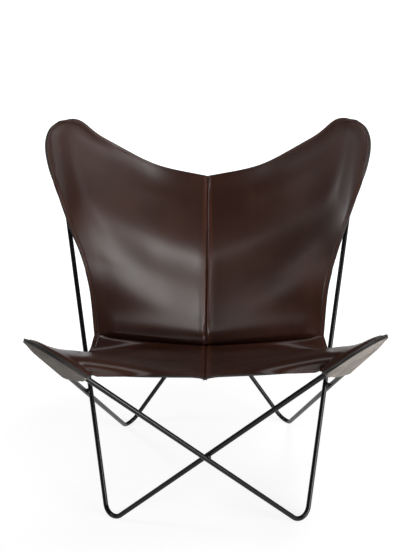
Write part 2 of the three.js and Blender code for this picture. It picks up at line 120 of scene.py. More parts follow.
# %% Round corners
class Bend:
    """The round corner between two straight runs of rod."""

    def __init__(self, corner, before, after, radius):
        self.corner = corner
        self.a = unit(before - corner)
        self.b = unit(after - corner)
        self.half = math.acos(float(self.a @ self.b)) / 2
        inward = unit(self.a + self.b)
        self.radius = radius
        self.centre = corner + inward * radius / math.sin(self.half)
        self.out = -inward
        self.side = unit(self.a - self.b)
        self.normal = unit(np.cross(self.a, self.b))

    def lowest(self):
        return self.centre[2] - self.radius * math.sqrt(1 - self.normal[2] ** 2)

    def points(self, count):
        sweep = math.pi / 2 - self.half
        angles = np.linspace(sweep, -sweep, count)[:, None]
        return self.centre + self.radius * (self.out * np.cos(angles) + self.side * np.sin(angles))


# %% Corners of a loop
FRONT_FOOT, FRONT_EAR, BACK_FOOT, BACK_EAR = range(4)


def loop_corners(lay, hand, shift):
    """The four corners in order; hand mirrors the loop and shift moves it forward."""
    def at(x, y, z):
        return vec(hand * x, y - shift, z)
    return [
        at(-FRONT_FOOT_X, 0, lay["foot"]),
        at(lay["ear_x"], FRONT_EAR_Y, FRONT_EAR_Z),
        at(BACK_FOOT_X, BACK_FOOT_Y, lay["back_foot"]),
        at(-BACK_EAR_X, BACK_EAR_Y, BACK_EAR_Z) + vec(BACK_EAR_LEAN, 0, 0),
    ]


def loop_bends(corners):
    radii = [FOOT_BEND, FRONT_EAR_BEND, FOOT_BEND, BACK_EAR_BEND]
    return [Bend(corners[k], corners[k - 1], corners[(k + 1) % 4], radii[k]) for k in range(4)]


# %% Lay out the two loops
LAYOUT_ROUNDS = 40


def line_gap(p, p_way, q, q_way, outward):
    """How far the second of two straight lines lies outside the first."""
    n = unit(np.cross(p_way, q_way))
    n = -n if n @ outward < 0 else n
    return (q - p) @ n


def lay_out_frame():
    """The bends of both loops, standing on the floor and touching where they cross."""
    lays = [{"foot": 0.0, "back_foot": 0.0, "ear_x": float(BACK_EAR_X)} for _ in range(2)]
    reach = ROD + WELD_GAP
    foot_height = ROD / 2 - FOOT_FLAT
    for _ in range(LAYOUT_ROUNDS):
        rise = FRONT_EAR_Z - lays[0]["foot"]
        shift = reach * math.hypot(FRONT_EAR_Y, rise) / rise
        corners = [loop_corners(lays[0], 1, 0), loop_corners(lays[1], -1, shift)]
        for k, lay in enumerate(lays):
            own, other = corners[k], corners[1 - k]
            outward = vec(math.copysign(1, own[FRONT_EAR][0]), 0, 0)
            upright = unit(other[BACK_EAR] - other[FRONT_FOOT])
            diagonal = unit(own[BACK_FOOT] - own[FRONT_EAR])
            gap = line_gap(other[FRONT_FOOT], upright, own[FRONT_EAR], diagonal, outward)
            bends = loop_bends(own)
            lay["ear_x"] += reach - gap
            lay["foot"] += foot_height - bends[FRONT_FOOT].lowest()
            lay["back_foot"] += foot_height - bends[BACK_FOOT].lowest()
    return [loop_bends(c) for c in corners]


loop_a, loop_b = lay_out_frame()
print("front ear corners", loop_a[FRONT_EAR].corner.round(1), loop_b[FRONT_EAR].corner.round(1))

# %% [markdown]
# ## From points to pieces
# Two helpers make the rods and the leather. The first turns points and faces into an object that sits
# at the origin with its place in its mesh; the solids were centred, so every point is shifted as they
# were. The second sweeps a round section along a closed path; its frames turn as little as
# possible, so the section does not twist round the bends.

# %% From points to a mesh
SHIFT = vec(-6.38, -155.68, 0)
PER_METRE = 1000


def make_object(name, points, faces, materials, face_materials=None, attributes=None):
    """An object at the origin, made of points in millimetres."""
    mesh = bpy.data.meshes.new(name)
    place = (np.asarray(points) + SHIFT) / PER_METRE
    mesh.from_pydata(place.tolist(), [], [list(map(int, f)) for f in faces])
    for material in materials:
        mesh.materials.append(material)
    if face_materials is not None:
        mesh.polygons.foreach_set("material_index", np.asarray(face_materials, np.int32))
    for key, values in (attributes or {}).items():
        layer = mesh.attributes.new(key, "FLOAT", "POINT")
        layer.data.foreach_set("value", np.asarray(values, np.float32))
    shell = bmesh.new()
    shell.from_mesh(mesh)
    bmesh.ops.recalc_face_normals(shell, faces=shell.faces)
    shell.to_mesh(mesh)
    shell.free()
    mesh.shade_smooth()
    piece = bpy.data.objects.new(name, mesh)
    bpy.context.scene.collection.objects.link(piece)
    return piece


# %% A round section along a path
SKEW = vec(0.3, 0.2, 1)


def sweep_closed(path, radius, sides):
    """Sweeps a circle along a closed path; SKEW is a way that no run of rod takes."""
    count = len(path)
    ways = unit(np.roll(path, -1, axis=0) - np.roll(path, 1, axis=0))
    up = unit(np.cross(ways[0], SKEW))
    ups = [up]
    for k in range(1, count):
        up = unit(up - ways[k] * (up @ ways[k]))
        ups.append(up)
    last = unit(ups[-1] - ways[0] * (ups[-1] @ ways[0]))
    twist = math.atan2(np.cross(last, ups[0]) @ ways[0], last @ ups[0])
    rings = []
    for k in range(count):
        side = np.cross(ways[k], ups[k])
        angles = np.linspace(0, 2 * math.pi, sides, endpoint=False)[:, None] + twist * k / count
        rings.append(path[k] + radius * (np.cos(angles) * ups[k] + np.sin(angles) * side))
    faces = []
    for k in range(count):
        for s in range(sides):
            t, m = (s + 1) % sides, (k + 1) % count
            faces.append([k * sides + s, k * sides + t, m * sides + t, m * sides + s])
    return np.concatenate(rings), faces


# %% [markdown]
# ## Shader sums
# A finish is easier to read as arithmetic than as boxes and wires. One class stands for a socket and
# turns plus, minus and times into Math nodes, and one method adds any other node.

# %% A socket in sums
class Value:
    """A socket of a finish that can be used in sums."""

    def __init__(self, finish, socket):
        self.finish = finish
        self.socket = socket

    def math(self, operation, other, swapped=False):
        first, second = (other, self) if swapped else (self, other)
        return self.finish.node("ShaderNodeMath", {"operation": operation}, {0: first, 1: second})

    def __add__(self, other):
        return self.math("ADD", other)

    def __sub__(self, other):
        return self.math("SUBTRACT", other)

    def __rsub__(self, other):
        return self.math("SUBTRACT", other, True)

    def __mul__(self, other):
        return self.math("MULTIPLY", other)

    __radd__ = __add__
    __rmul__ = __mul__


# %% A finish
MIX_FACTOR, MIX_FIRST, MIX_SECOND, MIX_COLOUR = 0, 6, 7, 2


class Finish:
    """A material made of sums on the sockets of one surface shader."""

    def __init__(self, name, plain):
        self.material = bpy.data.materials.new(name)
        self.material.use_nodes = True
        self.tree = self.material.node_tree
        self.surface = self.tree.nodes["Principled BSDF"]
        for socket, value in plain.items():
            self.set(socket, value)

    def plug(self, socket, value):
        if isinstance(value, Value):
            self.tree.links.new(value.socket, socket)
        else:
            socket.default_value = value

    def set(self, socket, value):
        self.plug(self.surface.inputs[socket], value)

    def node(self, kind, settings=None, inputs=None, output=0):
        made = self.tree.nodes.new(kind)
        for key, value in (settings or {}).items():
            setattr(made, key, value)
        for key, value in (inputs or {}).items():
            self.plug(made.inputs[key], value)
        return Value(self, made.outputs[output])

    def place(self):
        return self.node("ShaderNodeTexCoord", output="Object")

    def reading(self, name):
        return self.node("ShaderNodeAttribute", {"attribute_name": name}, output="Fac")

    def noise(self, scale, detail=2.0, rough=0.5, stretch=(1, 1, 1)):
        place = self.node("ShaderNodeVectorMath", {"operation": "MULTIPLY"}, {0: self.place(), 1: stretch})
        inputs = {"Vector": place, "Scale": scale, "Detail": detail, "Roughness": rough}
        return self.node("ShaderNodeTexNoise", {}, inputs)

    def between(self, value, low, high, to_low=0.0, to_high=1.0):
        inputs = dict(enumerate((value, low, high, to_low, to_high)))
        return self.node("ShaderNodeMapRange", {"interpolation_type": "SMOOTHSTEP"}, inputs)

    def blend(self, factor, first, second):
        inputs = {MIX_FACTOR: factor, MIX_FIRST: first, MIX_SECOND: second}
        return self.node("ShaderNodeMix", {"data_type": "RGBA"}, inputs, MIX_COLOUR)

    def bump(self, millimetres):
        inputs = {"Strength": 1.0, "Distance": 1 / PER_METRE, "Height": millimetres}
        self.set("Normal", self.node("ShaderNodeBump", {}, inputs))


# %% [markdown]
# ## Black frame paint
# The rods wear a satin black powder coat: nearly black, half glossy, with a faint orange-peel skin and
# slightly duller patches where hands have rubbed it. A painted picture could show this, but noise in
# Object coordinates needs no UV map and has no seam. The four welds are shown as the solids that they
# are, in the same paint, rippled by the weld beneath.

# %% Frame paint
PAINT_DEEP = (0.0025, 0.0025, 0.0027, 1)
PAINT_RUBBED = (0.006, 0.0058, 0.0056, 1)

frame_paint = Finish("frame_paint", {"Specular IOR Level": 0.3})
rubbed = frame_paint.noise(14, 3)
frame_paint.set("Base Color", frame_paint.blend(rubbed, PAINT_DEEP, PAINT_RUBBED))
frame_paint.set("Roughness", frame_paint.between(rubbed, 0.3, 0.7, 0.2, 0.28))
frame_paint.bump(frame_paint.noise(900, 2) * 0.03)
print("frame paint", len(frame_paint.tree.nodes), "nodes")

# %% Weld paint
WELD_DEEP = (0.004, 0.004, 0.0042, 1)
WELD_BRIGHT = (0.012, 0.0115, 0.011, 1)

weld_paint = Finish("weld_paint", {"Specular IOR Level": 0.5, "Roughness": 0.42})
ripple = weld_paint.noise(420, 2, 0.4)
weld_paint.set("Base Color", weld_paint.blend(ripple, WELD_DEEP, WELD_BRIGHT))
weld_paint.bump(ripple * 0.5)
for corner in ("front", "back", "left", "right"):
    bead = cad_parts[f"{corner}_cross_weld"]
    bead.data.materials.clear()
    bead.data.materials.append(weld_paint.material)
print("weld paint", len(weld_paint.tree.nodes), "nodes")

# %% [markdown]
# ## The two rod loops
# On the real chair each loop is one rod with four bends, closed by a weld that is ground away. The
# solids cut it into runs and bends, so the loop is drawn again here as one unbroken sweep. A curve with
# a round bevel would do too, but the sweep sets its rings close in the bends and wide on the straight
# runs, and its points can be filed flat where the feet meet the floor.

# %% Rod loops
BEND_RINGS = 22
RUN_STEP = 30
ROD_SIDES = 28


def loop_path(bends):
    points = []
    for k, bend in enumerate(bends):
        arc = bend.points(BEND_RINGS)
        after = bends[(k + 1) % 4].points(BEND_RINGS)[0]
        steps = max(2, int(np.linalg.norm(after - arc[-1]) / RUN_STEP))
        run = [mix(arc[-1], after, n / steps) for n in range(1, steps)]
        points += [*arc, *run]
    return np.array(points)


def rod_loop(name, bends, nodes):
    path = loop_path(bends)
    points, faces = sweep_closed(path, ROD / 2, ROD_SIDES)
    points[:, 2] = np.maximum(points[:, 2], 0)
    piece = make_object(name, points, faces, [frame_paint.material])
    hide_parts(*nodes)
    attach(piece, "root")
    print(name, len(path), "rings")


rod_loop("rod_loop_a", loop_a, [
    "front_rod_a", "diagonal_rod_right", "back_rod_a", "upright_rod_left",
    "front_foot_left", "front_ear_right", "back_foot_right", "back_ear_left",
])
rod_loop("rod_loop_b", loop_b, [
    "front_rod_b", "diagonal_rod_left", "back_rod_b", "upright_rod_right",
    "front_foot_right", "front_ear_left", "back_foot_left", "back_ear_right",
])

# %% [markdown]
# ## Smooth curves
# The sling is cut as two halves that meet in a seam down the middle. Its free edges follow the ears at
# a set distance and run between them in easy curves. A smooth curve goes through a few measured points;
# where two edges meet in a round end, each knows the other's next point, so the outline has no corner.

# %% Smooth curves
CURVE_STEPS = 400


class Curve:
    """A smooth curve through points, read by knot or by share of its length."""

    def __init__(self, points, before=None, after=None):
        p = np.array(points, float)
        first = 2 * p[0] - p[1] if before is None else before
        last = 2 * p[-1] - p[-2] if after is None else after
        self.padded = np.vstack([first, p, last])
        self.knots = np.linspace(0, 1, CURVE_STEPS)
        lengths = np.linalg.norm(np.diff(self.at(self.knots), axis=0), axis=1)
        self.shares = np.concatenate([[0], np.cumsum(lengths)]) / lengths.sum()

    def at(self, t):
        spans = len(self.padded) - 3
        place = np.clip(np.asarray(t, float), 0, 1) * spans
        k = np.minimum(place.astype(int), spans - 1)
        w = (place - k)[..., None]
        x0, x1, x2, x3 = (self.padded[k + n] for n in range(4))
        t0, t1 = (x2 - x0) / 2, (x3 - x1) / 2
        square = 3 * (x2 - x1) - 2 * t0 - t1
        cube = 2 * (x1 - x2) + t0 + t1
        return x1 + t0 * w + square * w ** 2 + cube * w ** 3

    def share(self, s):
        return self.at(np.interp(s, self.shares, self.knots))


# %% [markdown]
# ## Leather over an ear
# The panel lies over the rods of an ear and the pocket under them, and both are sewn together outside
# the rods. From the stitches the panel of a back ear swells up in one even pillow, and over the rods it
# drapes softly, so no ridge shows. The pocket below is drawn tight, in nearly a straight line from the
# stitches to the rod. A cloth simulation could find this too, but thick leather hardly stretches, so
# it is drawn first and then pushed clear of the rods, with a soft start that leaves no crease.

# %% Leather sizes
LEATHER = 4
LAYER_GAP = 0.3
ROD_CLEARANCE = 0.8
STITCH_INSET = 9
LIFT = ROD / 2 + LEATHER / 2 + ROD_CLEARANCE
LAYER = LEATHER + LAYER_GAP

# %% Ears
PANEL_FULLNESS = 1.6
POCKET_FULLNESS = 1.15
POCKET_EASE_IN = 1
PUSH_RISE = 5
PILLOW = 12
PILLOW_RISE = 100
PILLOW_POWER = 3
PILLOW_REACH = 150


class Ear:
    """A rod ear as the leather sees it: which way it faces and how far a point lies outside the rod."""

    def __init__(self, bend, margin, hand, faces, drape):
        self.bend = bend
        self.margin = margin
        self.drape = drape
        self.facing = bend.normal * math.copysign(1, bend.normal @ faces)
        self.outer = bend.side * math.copysign(1, bend.side[0] * hand)
        self.side_way = bend.out * math.sin(bend.half) + self.outer * math.cos(bend.half)
        self.inner_way = bend.out * math.sin(bend.half) - self.outer * math.cos(bend.half)

    def height(self, p):
        return (p - self.bend.centre) @ self.facing

    def outside(self, p):
        """How far a point lies outside the middle line of the rod, seen square to the ear."""
        d = p - self.bend.centre
        along = d @ self.bend.out
        across = np.abs(d @ self.bend.side)
        cos, sin = math.cos(self.bend.half), math.sin(self.bend.half)
        by_bend = along * cos - across * sin > 0
        reach = np.where(by_bend, np.hypot(along, across), along * sin + across * cos)
        return reach - self.bend.radius

    def near(self, p):
        """1 in the middle of the ear, falling away around it."""
        return np.exp(-((p - self.bend.centre) ** 2).sum(axis=-1) / PILLOW_REACH ** 2)

    def pillow(self, p, from_edge):
        """Leather filled out over the ear in one even swell."""
        t = np.clip((from_edge - STITCH_INSET) / PILLOW_RISE, 0, 1)
        return p + (PILLOW * (1 - (1 - t) ** PILLOW_POWER) * self.near(p))[..., None] * self.facing

    def need(self, p, fullness):
        """Height from the ear plane at which leather clears the rod, and how far in from the stitches."""
        ramp = self.margin - STITCH_INSET
        inside = np.clip((ramp - self.outside(p)) / ramp, 0, 1)
        return LAYER / 2 + (LIFT - LAYER / 2) * (1 - (1 - inside) ** fullness), inside

    def push(self, lack, ease, inside):
        """What is lacking, made up with a soft start."""
        return (0.5 * (lack + np.sqrt(lack ** 2 + ease ** 2)) * smooth(inside * PUSH_RISE))[..., None]

    def over(self, p):
        """Leather held clear of the rods."""
        need, inside = self.need(p, PANEL_FULLNESS)
        fall = np.minimum(self.outside(p), 0) ** 2 / (2 * self.drape["fall_radius"])
        lack = need - fall - self.height(p)
        return p + self.push(lack, self.drape["ease"], inside) * self.facing

    def under(self, p):
        """Leather drawn tight under the rods."""
        need, inside = self.need(p, POCKET_FULLNESS)
        lack = need + self.height(p)
        return p - self.push(lack, POCKET_EASE_IN, inside) * self.facing

    def round_end(self, degrees, extra=0):
        """A place on the cut edge round the ear, turned from its tip towards its outer side."""
        angle = math.radians(degrees)
        reach = self.bend.radius + self.margin + extra
        way = self.bend.out * math.cos(angle) + self.outer * math.sin(angle)
        return self.bend.centre + way * reach + self.facing * LAYER / 2

    def on_rod(self, way, along, height):
        return self.bend.corner + way * along + self.facing * height


# %% [markdown]
# ## Outline of one half of the sling
# Seat and back each have four edges: the seam, the fold between them, the free side edge and the front
# or top edge. Places on an edge are measured from the nearest ear. The surface is stretched between
# the four edges, as leather under its own pull is, and what it does inside them is added later.

# %% Sizes of the seat
FRONT_MARGIN = 33
FRONT_DRAPE = {"fall_radius": 160, "ease": 7}
FRONT_POCKET_FRONT = 214
FRONT_EDGE_RISE = 6
SEAT_FRONT = vec(0, -194, 470)
SEAT_SAG = 14
CREASE = vec(0, 240, 353)
WING_ROUND = [-80, -40, 0, 45]
WING_TUCK_ANGLE = 90
WING_TUCK = 8
WING_EDGE = [[20, 158, -108], [38, 243, -157], [67, 373, -224]]
NOTCH = [108, -323, -580]

# %% Sizes of the back
BACK_MARGIN = 38
BACK_DRAPE = {"fall_radius": 200, "ease": 3}
BACK_POCKET_SIDE = 346
BACK_TOP = vec(6, 546, 733)
BACK_BULGE = 12
BACK_BULGE_AT = 0.12
BACK_SAG = 14
BACK_SAG_AT = 0.55
SIDE_EDGE = [[121, -296, -545], [106, -239, -437], [81, -196, -362]]
SIDE_FLARE = {"along": 255, "out": 26}
SIDE_OUT = 7
EAR_FLANK = {"degrees": 90, "extra": 8}
EAR_TURN = {"degrees": 42, "extra": -3.5}
EAR_TIP = {"degrees": 0, "extra": -6}
EAR_SHOULDER = {"degrees": -45, "extra": 8.5}
TOP_EDGE = [[129, 27, -104], [261, 42, -180]]


# %% Outline and surface of a half
class Half:
    """Outline and surface of one half of the sling; hand is -1 on the left and 1 on the right."""

    def __init__(self, hand, front_bend, back_bend):
        self.hand = hand
        self.front = Ear(front_bend, FRONT_MARGIN, hand, vec(0, 0, 1), FRONT_DRAPE)
        self.back = Ear(back_bend, BACK_MARGIN, hand, vec(0, -1, 0), BACK_DRAPE)
        crease_end = self.from_ear(self.back, SIDE_EDGE[0])
        self.crease = Curve([CREASE, mix(CREASE, crease_end, 0.5), crease_end])
        self.draw_seat(crease_end)
        self.draw_back()

    def from_ear(self, ear, place):
        return ear.bend.corner + vec(-self.hand * place[0], place[1], place[2])

    def draw_seat(self, crease_end):
        front = self.front
        over_rod = front.on_rod(front.bend.a, FRONT_POCKET_FRONT, LIFT + FRONT_EDGE_RISE)
        flank, turn, tip, rear = [front.round_end(degrees) for degrees in WING_ROUND]
        tuck = front.round_end(WING_TUCK_ANGLE, -WING_TUCK)
        before_flank = mix(over_rod, flank, 0.5)
        front_points = [SEAT_FRONT, mix(SEAT_FRONT, over_rod, 0.5), over_rod, before_flank, flank]
        self.front_edge = Curve(front_points, after=turn)
        side_points = [self.from_ear(front, p) for p in WING_EDGE]
        side_points += [self.from_ear(self.back, NOTCH), crease_end]
        self.wing_edge = Curve([flank, turn, tip, rear, tuck, *side_points], before=before_flank)
        sag = mix(SEAT_FRONT, CREASE, 0.5) - vec(0, 0, SEAT_SAG)
        self.seat_seam = Curve([SEAT_FRONT, sag, CREASE])

    def draw_back(self):
        back = self.back
        rod_way = back.bend.b
        flare = back.on_rod(rod_way, SIDE_FLARE["along"], LAYER / 2) + back.side_way * SIDE_FLARE["out"]
        on_side = back.on_rod(rod_way, BACK_POCKET_SIDE, LIFT) + back.side_way * SIDE_OUT
        ear_places = (EAR_FLANK, EAR_TURN, EAR_TIP, EAR_SHOULDER)
        flank, turn, tip, shoulder = [back.round_end(**place) for place in ear_places]
        side_points = [self.from_ear(back, p) for p in SIDE_EDGE]
        self.side_edge = Curve([*side_points, on_side, flare, flank, turn, tip], after=shoulder)
        outer, inner = [self.from_ear(back, p) for p in TOP_EDGE]
        self.top_edge = Curve([BACK_TOP, inner, outer, shoulder, tip], after=turn)
        lean = unit(BACK_TOP - CREASE)
        forward = unit(vec(0, -lean[2], lean[1]))
        bulge = mix(CREASE, BACK_TOP, BACK_BULGE_AT) + forward * BACK_BULGE
        sag = mix(CREASE, BACK_TOP, BACK_SAG_AT) - forward * BACK_SAG
        self.back_seam = Curve([CREASE, bulge, sag, BACK_TOP])

    def patch(self, part, u, v):
        """A surface stretched between four edges; u runs from the seam outward, v from low to high."""
        if part == "seat":
            low, high, seam, outer = self.front_edge, self.crease, self.seat_seam, self.wing_edge
        else:
            low, high, seam, outer = self.crease, self.top_edge, self.back_seam, self.side_edge
        a, b, c, d = low.at(0), low.at(1), high.at(0), high.at(1)
        p, q = u[..., None], v[..., None]
        edges = low.share(u) * (1 - q) + high.share(u) * q + seam.share(v) * (1 - p) + outer.at(v) * p
        return edges - a * (1 - p) * (1 - q) - b * p * (1 - q) - c * (1 - p) * q - d * p * q

    def width(self, part, v):
        """How far the seam lies from the free edge."""
        at_seam, at_edge = self.patch(part, np.zeros_like(v), v), self.patch(part, np.ones_like(v), v)
        return np.linalg.norm(at_seam - at_edge, axis=-1)

    def surface(self, part, from_edge, v):
        """Points at given distances in from the free edge."""
        return self.patch(part, 1 - from_edge / self.width(part, v), v)


HALVES = {
    "left": Half(-1, loop_b[FRONT_EAR], loop_a[BACK_EAR]),
    "right": Half(1, loop_a[FRONT_EAR], loop_b[BACK_EAR]),
}
for side, half in HALVES.items():
    print(side, "wing tip", half.front.round_end(0).round(1), "ear tip", half.side_edge.at(1).round(1))

# %% [markdown]
# ## Leather finishes
# Waxed saddle leather is dark and warm, with a soft gloss, a fine pebble grain, clouds of lighter and
# darker dye and faint streaks where the hide was drawn. Along the seam a lighter red is painted as the
# sheen where the leather rolls into it, and the sewn border is coloured redder. The leather is duller
# on the back ears, where hands take hold, and the row of stitches lies in a shallow groove, with shade
# painted into it. The cut edges are burnished to a dark grey. The flesh side is pale, matt and fibrous.
# The panels carry their distances from edge and seam in millimetres, so that the borders follow the
# outline, and each border fades between two of these distances.

# %% Grain side: patterns and borders
SEAM_BORDER = (9.0, 15.0)
SEWN_BORDER = (7.5, 11.0)
BURNISHED_RIM = (0.8, 3.5)
GROOVE_OUTER = (7.4, 9.2)
GROOVE_INNER = (9.8, 11.6)
FADE = (1.0, 0.0)

grain_leather = Finish("grain_leather", {"Specular IOR Level": 0.5})
cloud = grain_leather.noise(7, 2, 0.5)
mottle = grain_leather.noise(150, 3, 0.6)
streaks = grain_leather.noise(90, 2, 0.5, (1, 0.04, 0.04))
pores = grain_leather.noise(1000, 2, 0.6)
from_edge = grain_leather.reading("from_edge")
sewn = grain_leather.reading("sewn")
# Painted sheen: the band along the seam, where the leather rolls into it, is coloured lighter and redder.
seam_sheen = grain_leather.between(grain_leather.reading("from_seam"), *SEAM_BORDER, *FADE)
in_border = grain_leather.between(from_edge, *SEWN_BORDER, *FADE) * sewn
burnished = grain_leather.between(from_edge, *BURNISHED_RIM, *FADE)
groove_end = grain_leather.between(from_edge, *GROOVE_INNER, *FADE)
groove = grain_leather.between(from_edge, *GROOVE_OUTER) * groove_end * sewn

# %% Grain side: colour, gloss and relief
DYE_DEEP = (0.029, 0.0092, 0.0050, 1)
DYE_LIGHT = (0.044, 0.0150, 0.0090, 1)
# A lighter red: painted sheen along the seam roll, and a redder colour in the sewn border.
SEAM_SHEEN_AND_BORDER_RED = (0.066, 0.0190, 0.0110, 1)
# A dark colour painted as shade in the stitch groove.
GROOVE_SHADE = (0.012, 0.004, 0.003, 1)
BURNISHED_GREY = (0.014, 0.011, 0.0095, 1)
HANDLED_DULL = 0.2

tone = grain_leather.between(cloud * 0.88 + streaks * 0.12, 0.3, 0.7)
dyed = grain_leather.blend(tone, DYE_DEEP, DYE_LIGHT)
# Painted sheen along the seam, and a redder sewn border.
reddened = grain_leather.blend(seam_sheen * 0.7 + in_border * 0.5, dyed, SEAM_SHEEN_AND_BORDER_RED)
# Painted shade in the stitch groove.
groove_shaded = grain_leather.blend(groove * 0.5, reddened, GROOVE_SHADE)
grain_leather.set("Base Color", grain_leather.blend(burnished, groove_shaded, BURNISHED_GREY))
waxed = cloud * 0.6 + mottle * 0.2 + streaks * 0.2
handled = grain_leather.reading("on_ear") * HANDLED_DULL
grain_leather.set("Roughness", grain_leather.between(waxed, 0.35, 0.65, 0.285, 0.325) + handled)
grain_leather.bump(pores * 0.006 + mottle * 0.015 + streaks * 0.015 - groove * 0.5)
print("grain side", len(grain_leather.tree.nodes), "nodes")

# %% Cut edges and flesh side
EDGE_DEEP = (0.012, 0.0105, 0.0095, 1)
EDGE_LIGHT = (0.026, 0.023, 0.021, 1)
FLESH_DEEP = (0.17, 0.150, 0.134, 1)
FLESH_LIGHT = (0.31, 0.281, 0.255, 1)

cut_edge = Finish("cut_edge", {"Specular IOR Level": 0.4, "Roughness": 0.55})
cut_edge.set("Base Color", cut_edge.blend(cut_edge.noise(220, 3), EDGE_DEEP, EDGE_LIGHT))
cut_edge.bump(cut_edge.noise(700, 2) * 0.1)

flesh_leather = Finish("flesh_leather", {"Specular IOR Level": 0.2, "Roughness": 0.92})
fibre = flesh_leather.noise(420, 4, 0.7)
patch_tone = flesh_leather.noise(22, 3)
raw = flesh_leather.between(fibre * 0.5 + patch_tone * 0.5, 0.3, 0.7)
flesh_leather.set("Base Color", flesh_leather.blend(raw, FLESH_DEEP, FLESH_LIGHT))
flesh_leather.bump(fibre * 0.35)
print("cut edge", len(cut_edge.tree.nodes), "nodes, flesh side", len(flesh_leather.tree.nodes), "nodes")

# %% [markdown]
# ## Making a sheet of leather
# A sheet is a grid of points on the middle of the hide. It is thickened to both sides, and the rim is
# rounded over a little, as an edge tool leaves it. A Solidify modifier could thicken it too, but the
# top, the rim and the underside each have their own finish, and here each face knows which it is.

# %% Which way a sheet faces, and its rim
def grid_normals(grid):
    """The way a sheet faces at each point; its two pinched corners take their neighbour's."""
    normals = unit(np.cross(np.gradient(grid, axis=1), np.gradient(grid, axis=0)))
    for i, near in ((0, 1), (-1, -2)):
        normals[i, -1] = normals[near, -2]
    return normals


def rim_cells(rows, columns):
    """Rows and columns of the points round the outside of a grid, in order."""
    rim = [(0, j) for j in range(columns)]
    rim += [(i, columns - 1) for i in range(1, rows)]
    rim += [(rows - 1, j) for j in range(columns - 2, -1, -1)]
    rim += [(i, 0) for i in range(rows - 2, 0, -1)]
    return tuple(np.array(rim).T)


# %% Sheet helper
EDGE_ROUND = 1.1
EDGE_PROFILE = [(0.3, 0.82), (0.0, 0.45), (0.0, -0.45), (0.3, -0.82)]
FACE, RIM, UNDERSIDE = range(3)


def leather_sheet(name, grid, sign, materials, values):
    """Thickens a grid of points; sign 1 puts the first material on the side the grid normals face."""
    rows, columns = grid.shape[:2]
    count = rows * columns
    rim = rim_cells(rows, columns)
    normals = grid_normals(grid) * sign
    thick = normals * (LEATHER / 2)
    outline = grid[rim]
    along = unit(np.roll(outline, -1, axis=0) - np.roll(outline, 1, axis=0))
    inward = unit(np.cross(normals[rim], along)) * sign * EDGE_ROUND
    inset = grid.copy()
    inset[rim] = outline + inward
    rings = [outline + inward * a + thick[rim] * b for a, b in EDGE_PROFILE]
    points = np.concatenate([(inset + thick).reshape(-1, 3), (inset - thick).reshape(-1, 3), *rings])
    cell = np.arange(count).reshape(rows, columns)
    quads = np.stack([cell[:-1, :-1], cell[:-1, 1:], cell[1:, 1:], cell[1:, :-1]], axis=-1).reshape(-1, 4)
    edge_loops = np.arange(2 * count, len(points)).reshape(len(EDGE_PROFILE), -1)
    loops = [cell[rim], *edge_loops, count + cell[rim]]
    bands = []
    for upper, lower in zip(loops[:-1], loops[1:]):
        bands.append(np.stack([upper, lower, np.roll(lower, -1), np.roll(upper, -1)], axis=1))
    band = np.concatenate(bands)
    faces = np.concatenate([quads, quads[:, ::-1] + count, band])
    finishes = np.repeat([FACE, UNDERSIDE, RIM], [len(quads), len(quads), len(band)])
    attributes = {}
    for key, table in values.items():
        flat = np.asarray(table, float).ravel()
        attributes[key] = np.concatenate([flat, flat, np.tile(flat[cell[rim]], len(EDGE_PROFILE))])
    return make_object(name, points, faces, materials, finishes, attributes)


# %% Cells of a sheet, measured and not used
def declare_sheet(grid):
    """Measures the cells of a sheet and does nothing with the result."""
    twice = np.cross(grid[1:, 1:] - grid[:-1, :-1], grid[1:, :-1] - grid[:-1, 1:])


# %% [markdown]
# ## The two panels
# Each half is sampled finely between its edges, and the seat is drawn smooth, so that bends of its
# edge die away. It is then laid over the ears. Between back and seat it folds: the back bulges over
# the fold, which fades out in a few puckers near the side edge. The back hangs a little hollow and its
# top edge leans forward. Along the middle the leather rolls over into the seam, and at the front the
# seam pulls the edge down a little. Each of these is one short step, so it can be changed by itself.

# %% Panel sampling
SEAT_ROWS = 130
BACK_ROWS = 150
ROW_PULL = 0.8
SURFACE_COLUMNS = 96
COLUMN_PULL = 1.5
SEAM_GAP = 0.02
SEAM_START = LEATHER / 2 + SEAM_GAP


def graded(count):
    """Shares from 0 to 1, closer together at both ends."""
    t = np.linspace(0, 1, count)
    return t - ROW_PULL * np.sin(2 * math.pi * t) / (2 * math.pi)


ROW_SHARES = {"seat": graded(SEAT_ROWS), "back": graded(BACK_ROWS)[1:]}
BACK_SHARE = np.concatenate([np.zeros(SEAT_ROWS), ROW_SHARES["back"]])
print("panel rows", len(BACK_SHARE))

# %% How round the leather turns into the seam
ROLL_SEAT = 3.2
ROLL_BACK = 5.4
ROLL_BACK_BY = 0.15
ROLL_TOP = 3.0
ROLL_TOP_FROM = 0.82
ROLL_TOP_OVER = 0.16

up_the_back = mix(ROLL_SEAT, ROLL_BACK, smooth(BACK_SHARE / ROLL_BACK_BY))
SEAM_ROLL = mix(up_the_back, ROLL_TOP, smooth((BACK_SHARE - ROLL_TOP_FROM) / ROLL_TOP_OVER))


def panel_surface(half):
    """Points of a panel out from the seam's roll, and where the seam lies in each row."""
    share = 1 - (1 - np.linspace(0, 1, SURFACE_COLUMNS)) ** COLUMN_PULL
    rolls = np.split(SEAM_ROLL[:, None], [SEAT_ROWS])
    points, seam_x = [], []
    for (part, shares), roll in zip(ROW_SHARES.items(), rolls):
        v = np.repeat(shares[:, None], SURFACE_COLUMNS, axis=1)
        start = SEAM_START + roll
        width = half.width(part, shares)[:, None]
        points.append(half.surface(part, (width - start) * (1 - share), v))
        seam_x.append(half.patch(part, np.zeros_like(shares), shares)[:, 0])
    return np.concatenate(points), np.concatenate(seam_x)


# %% How far each point lies from the free edge, and where the edge is sewn
EDGE_STEPS = 700
SEWN_FRONT = 0.72
SEWN_FRONT_OVER = 0.06
SEWN_TOP = 0.53
SEWN_TOP_OVER = 0.05


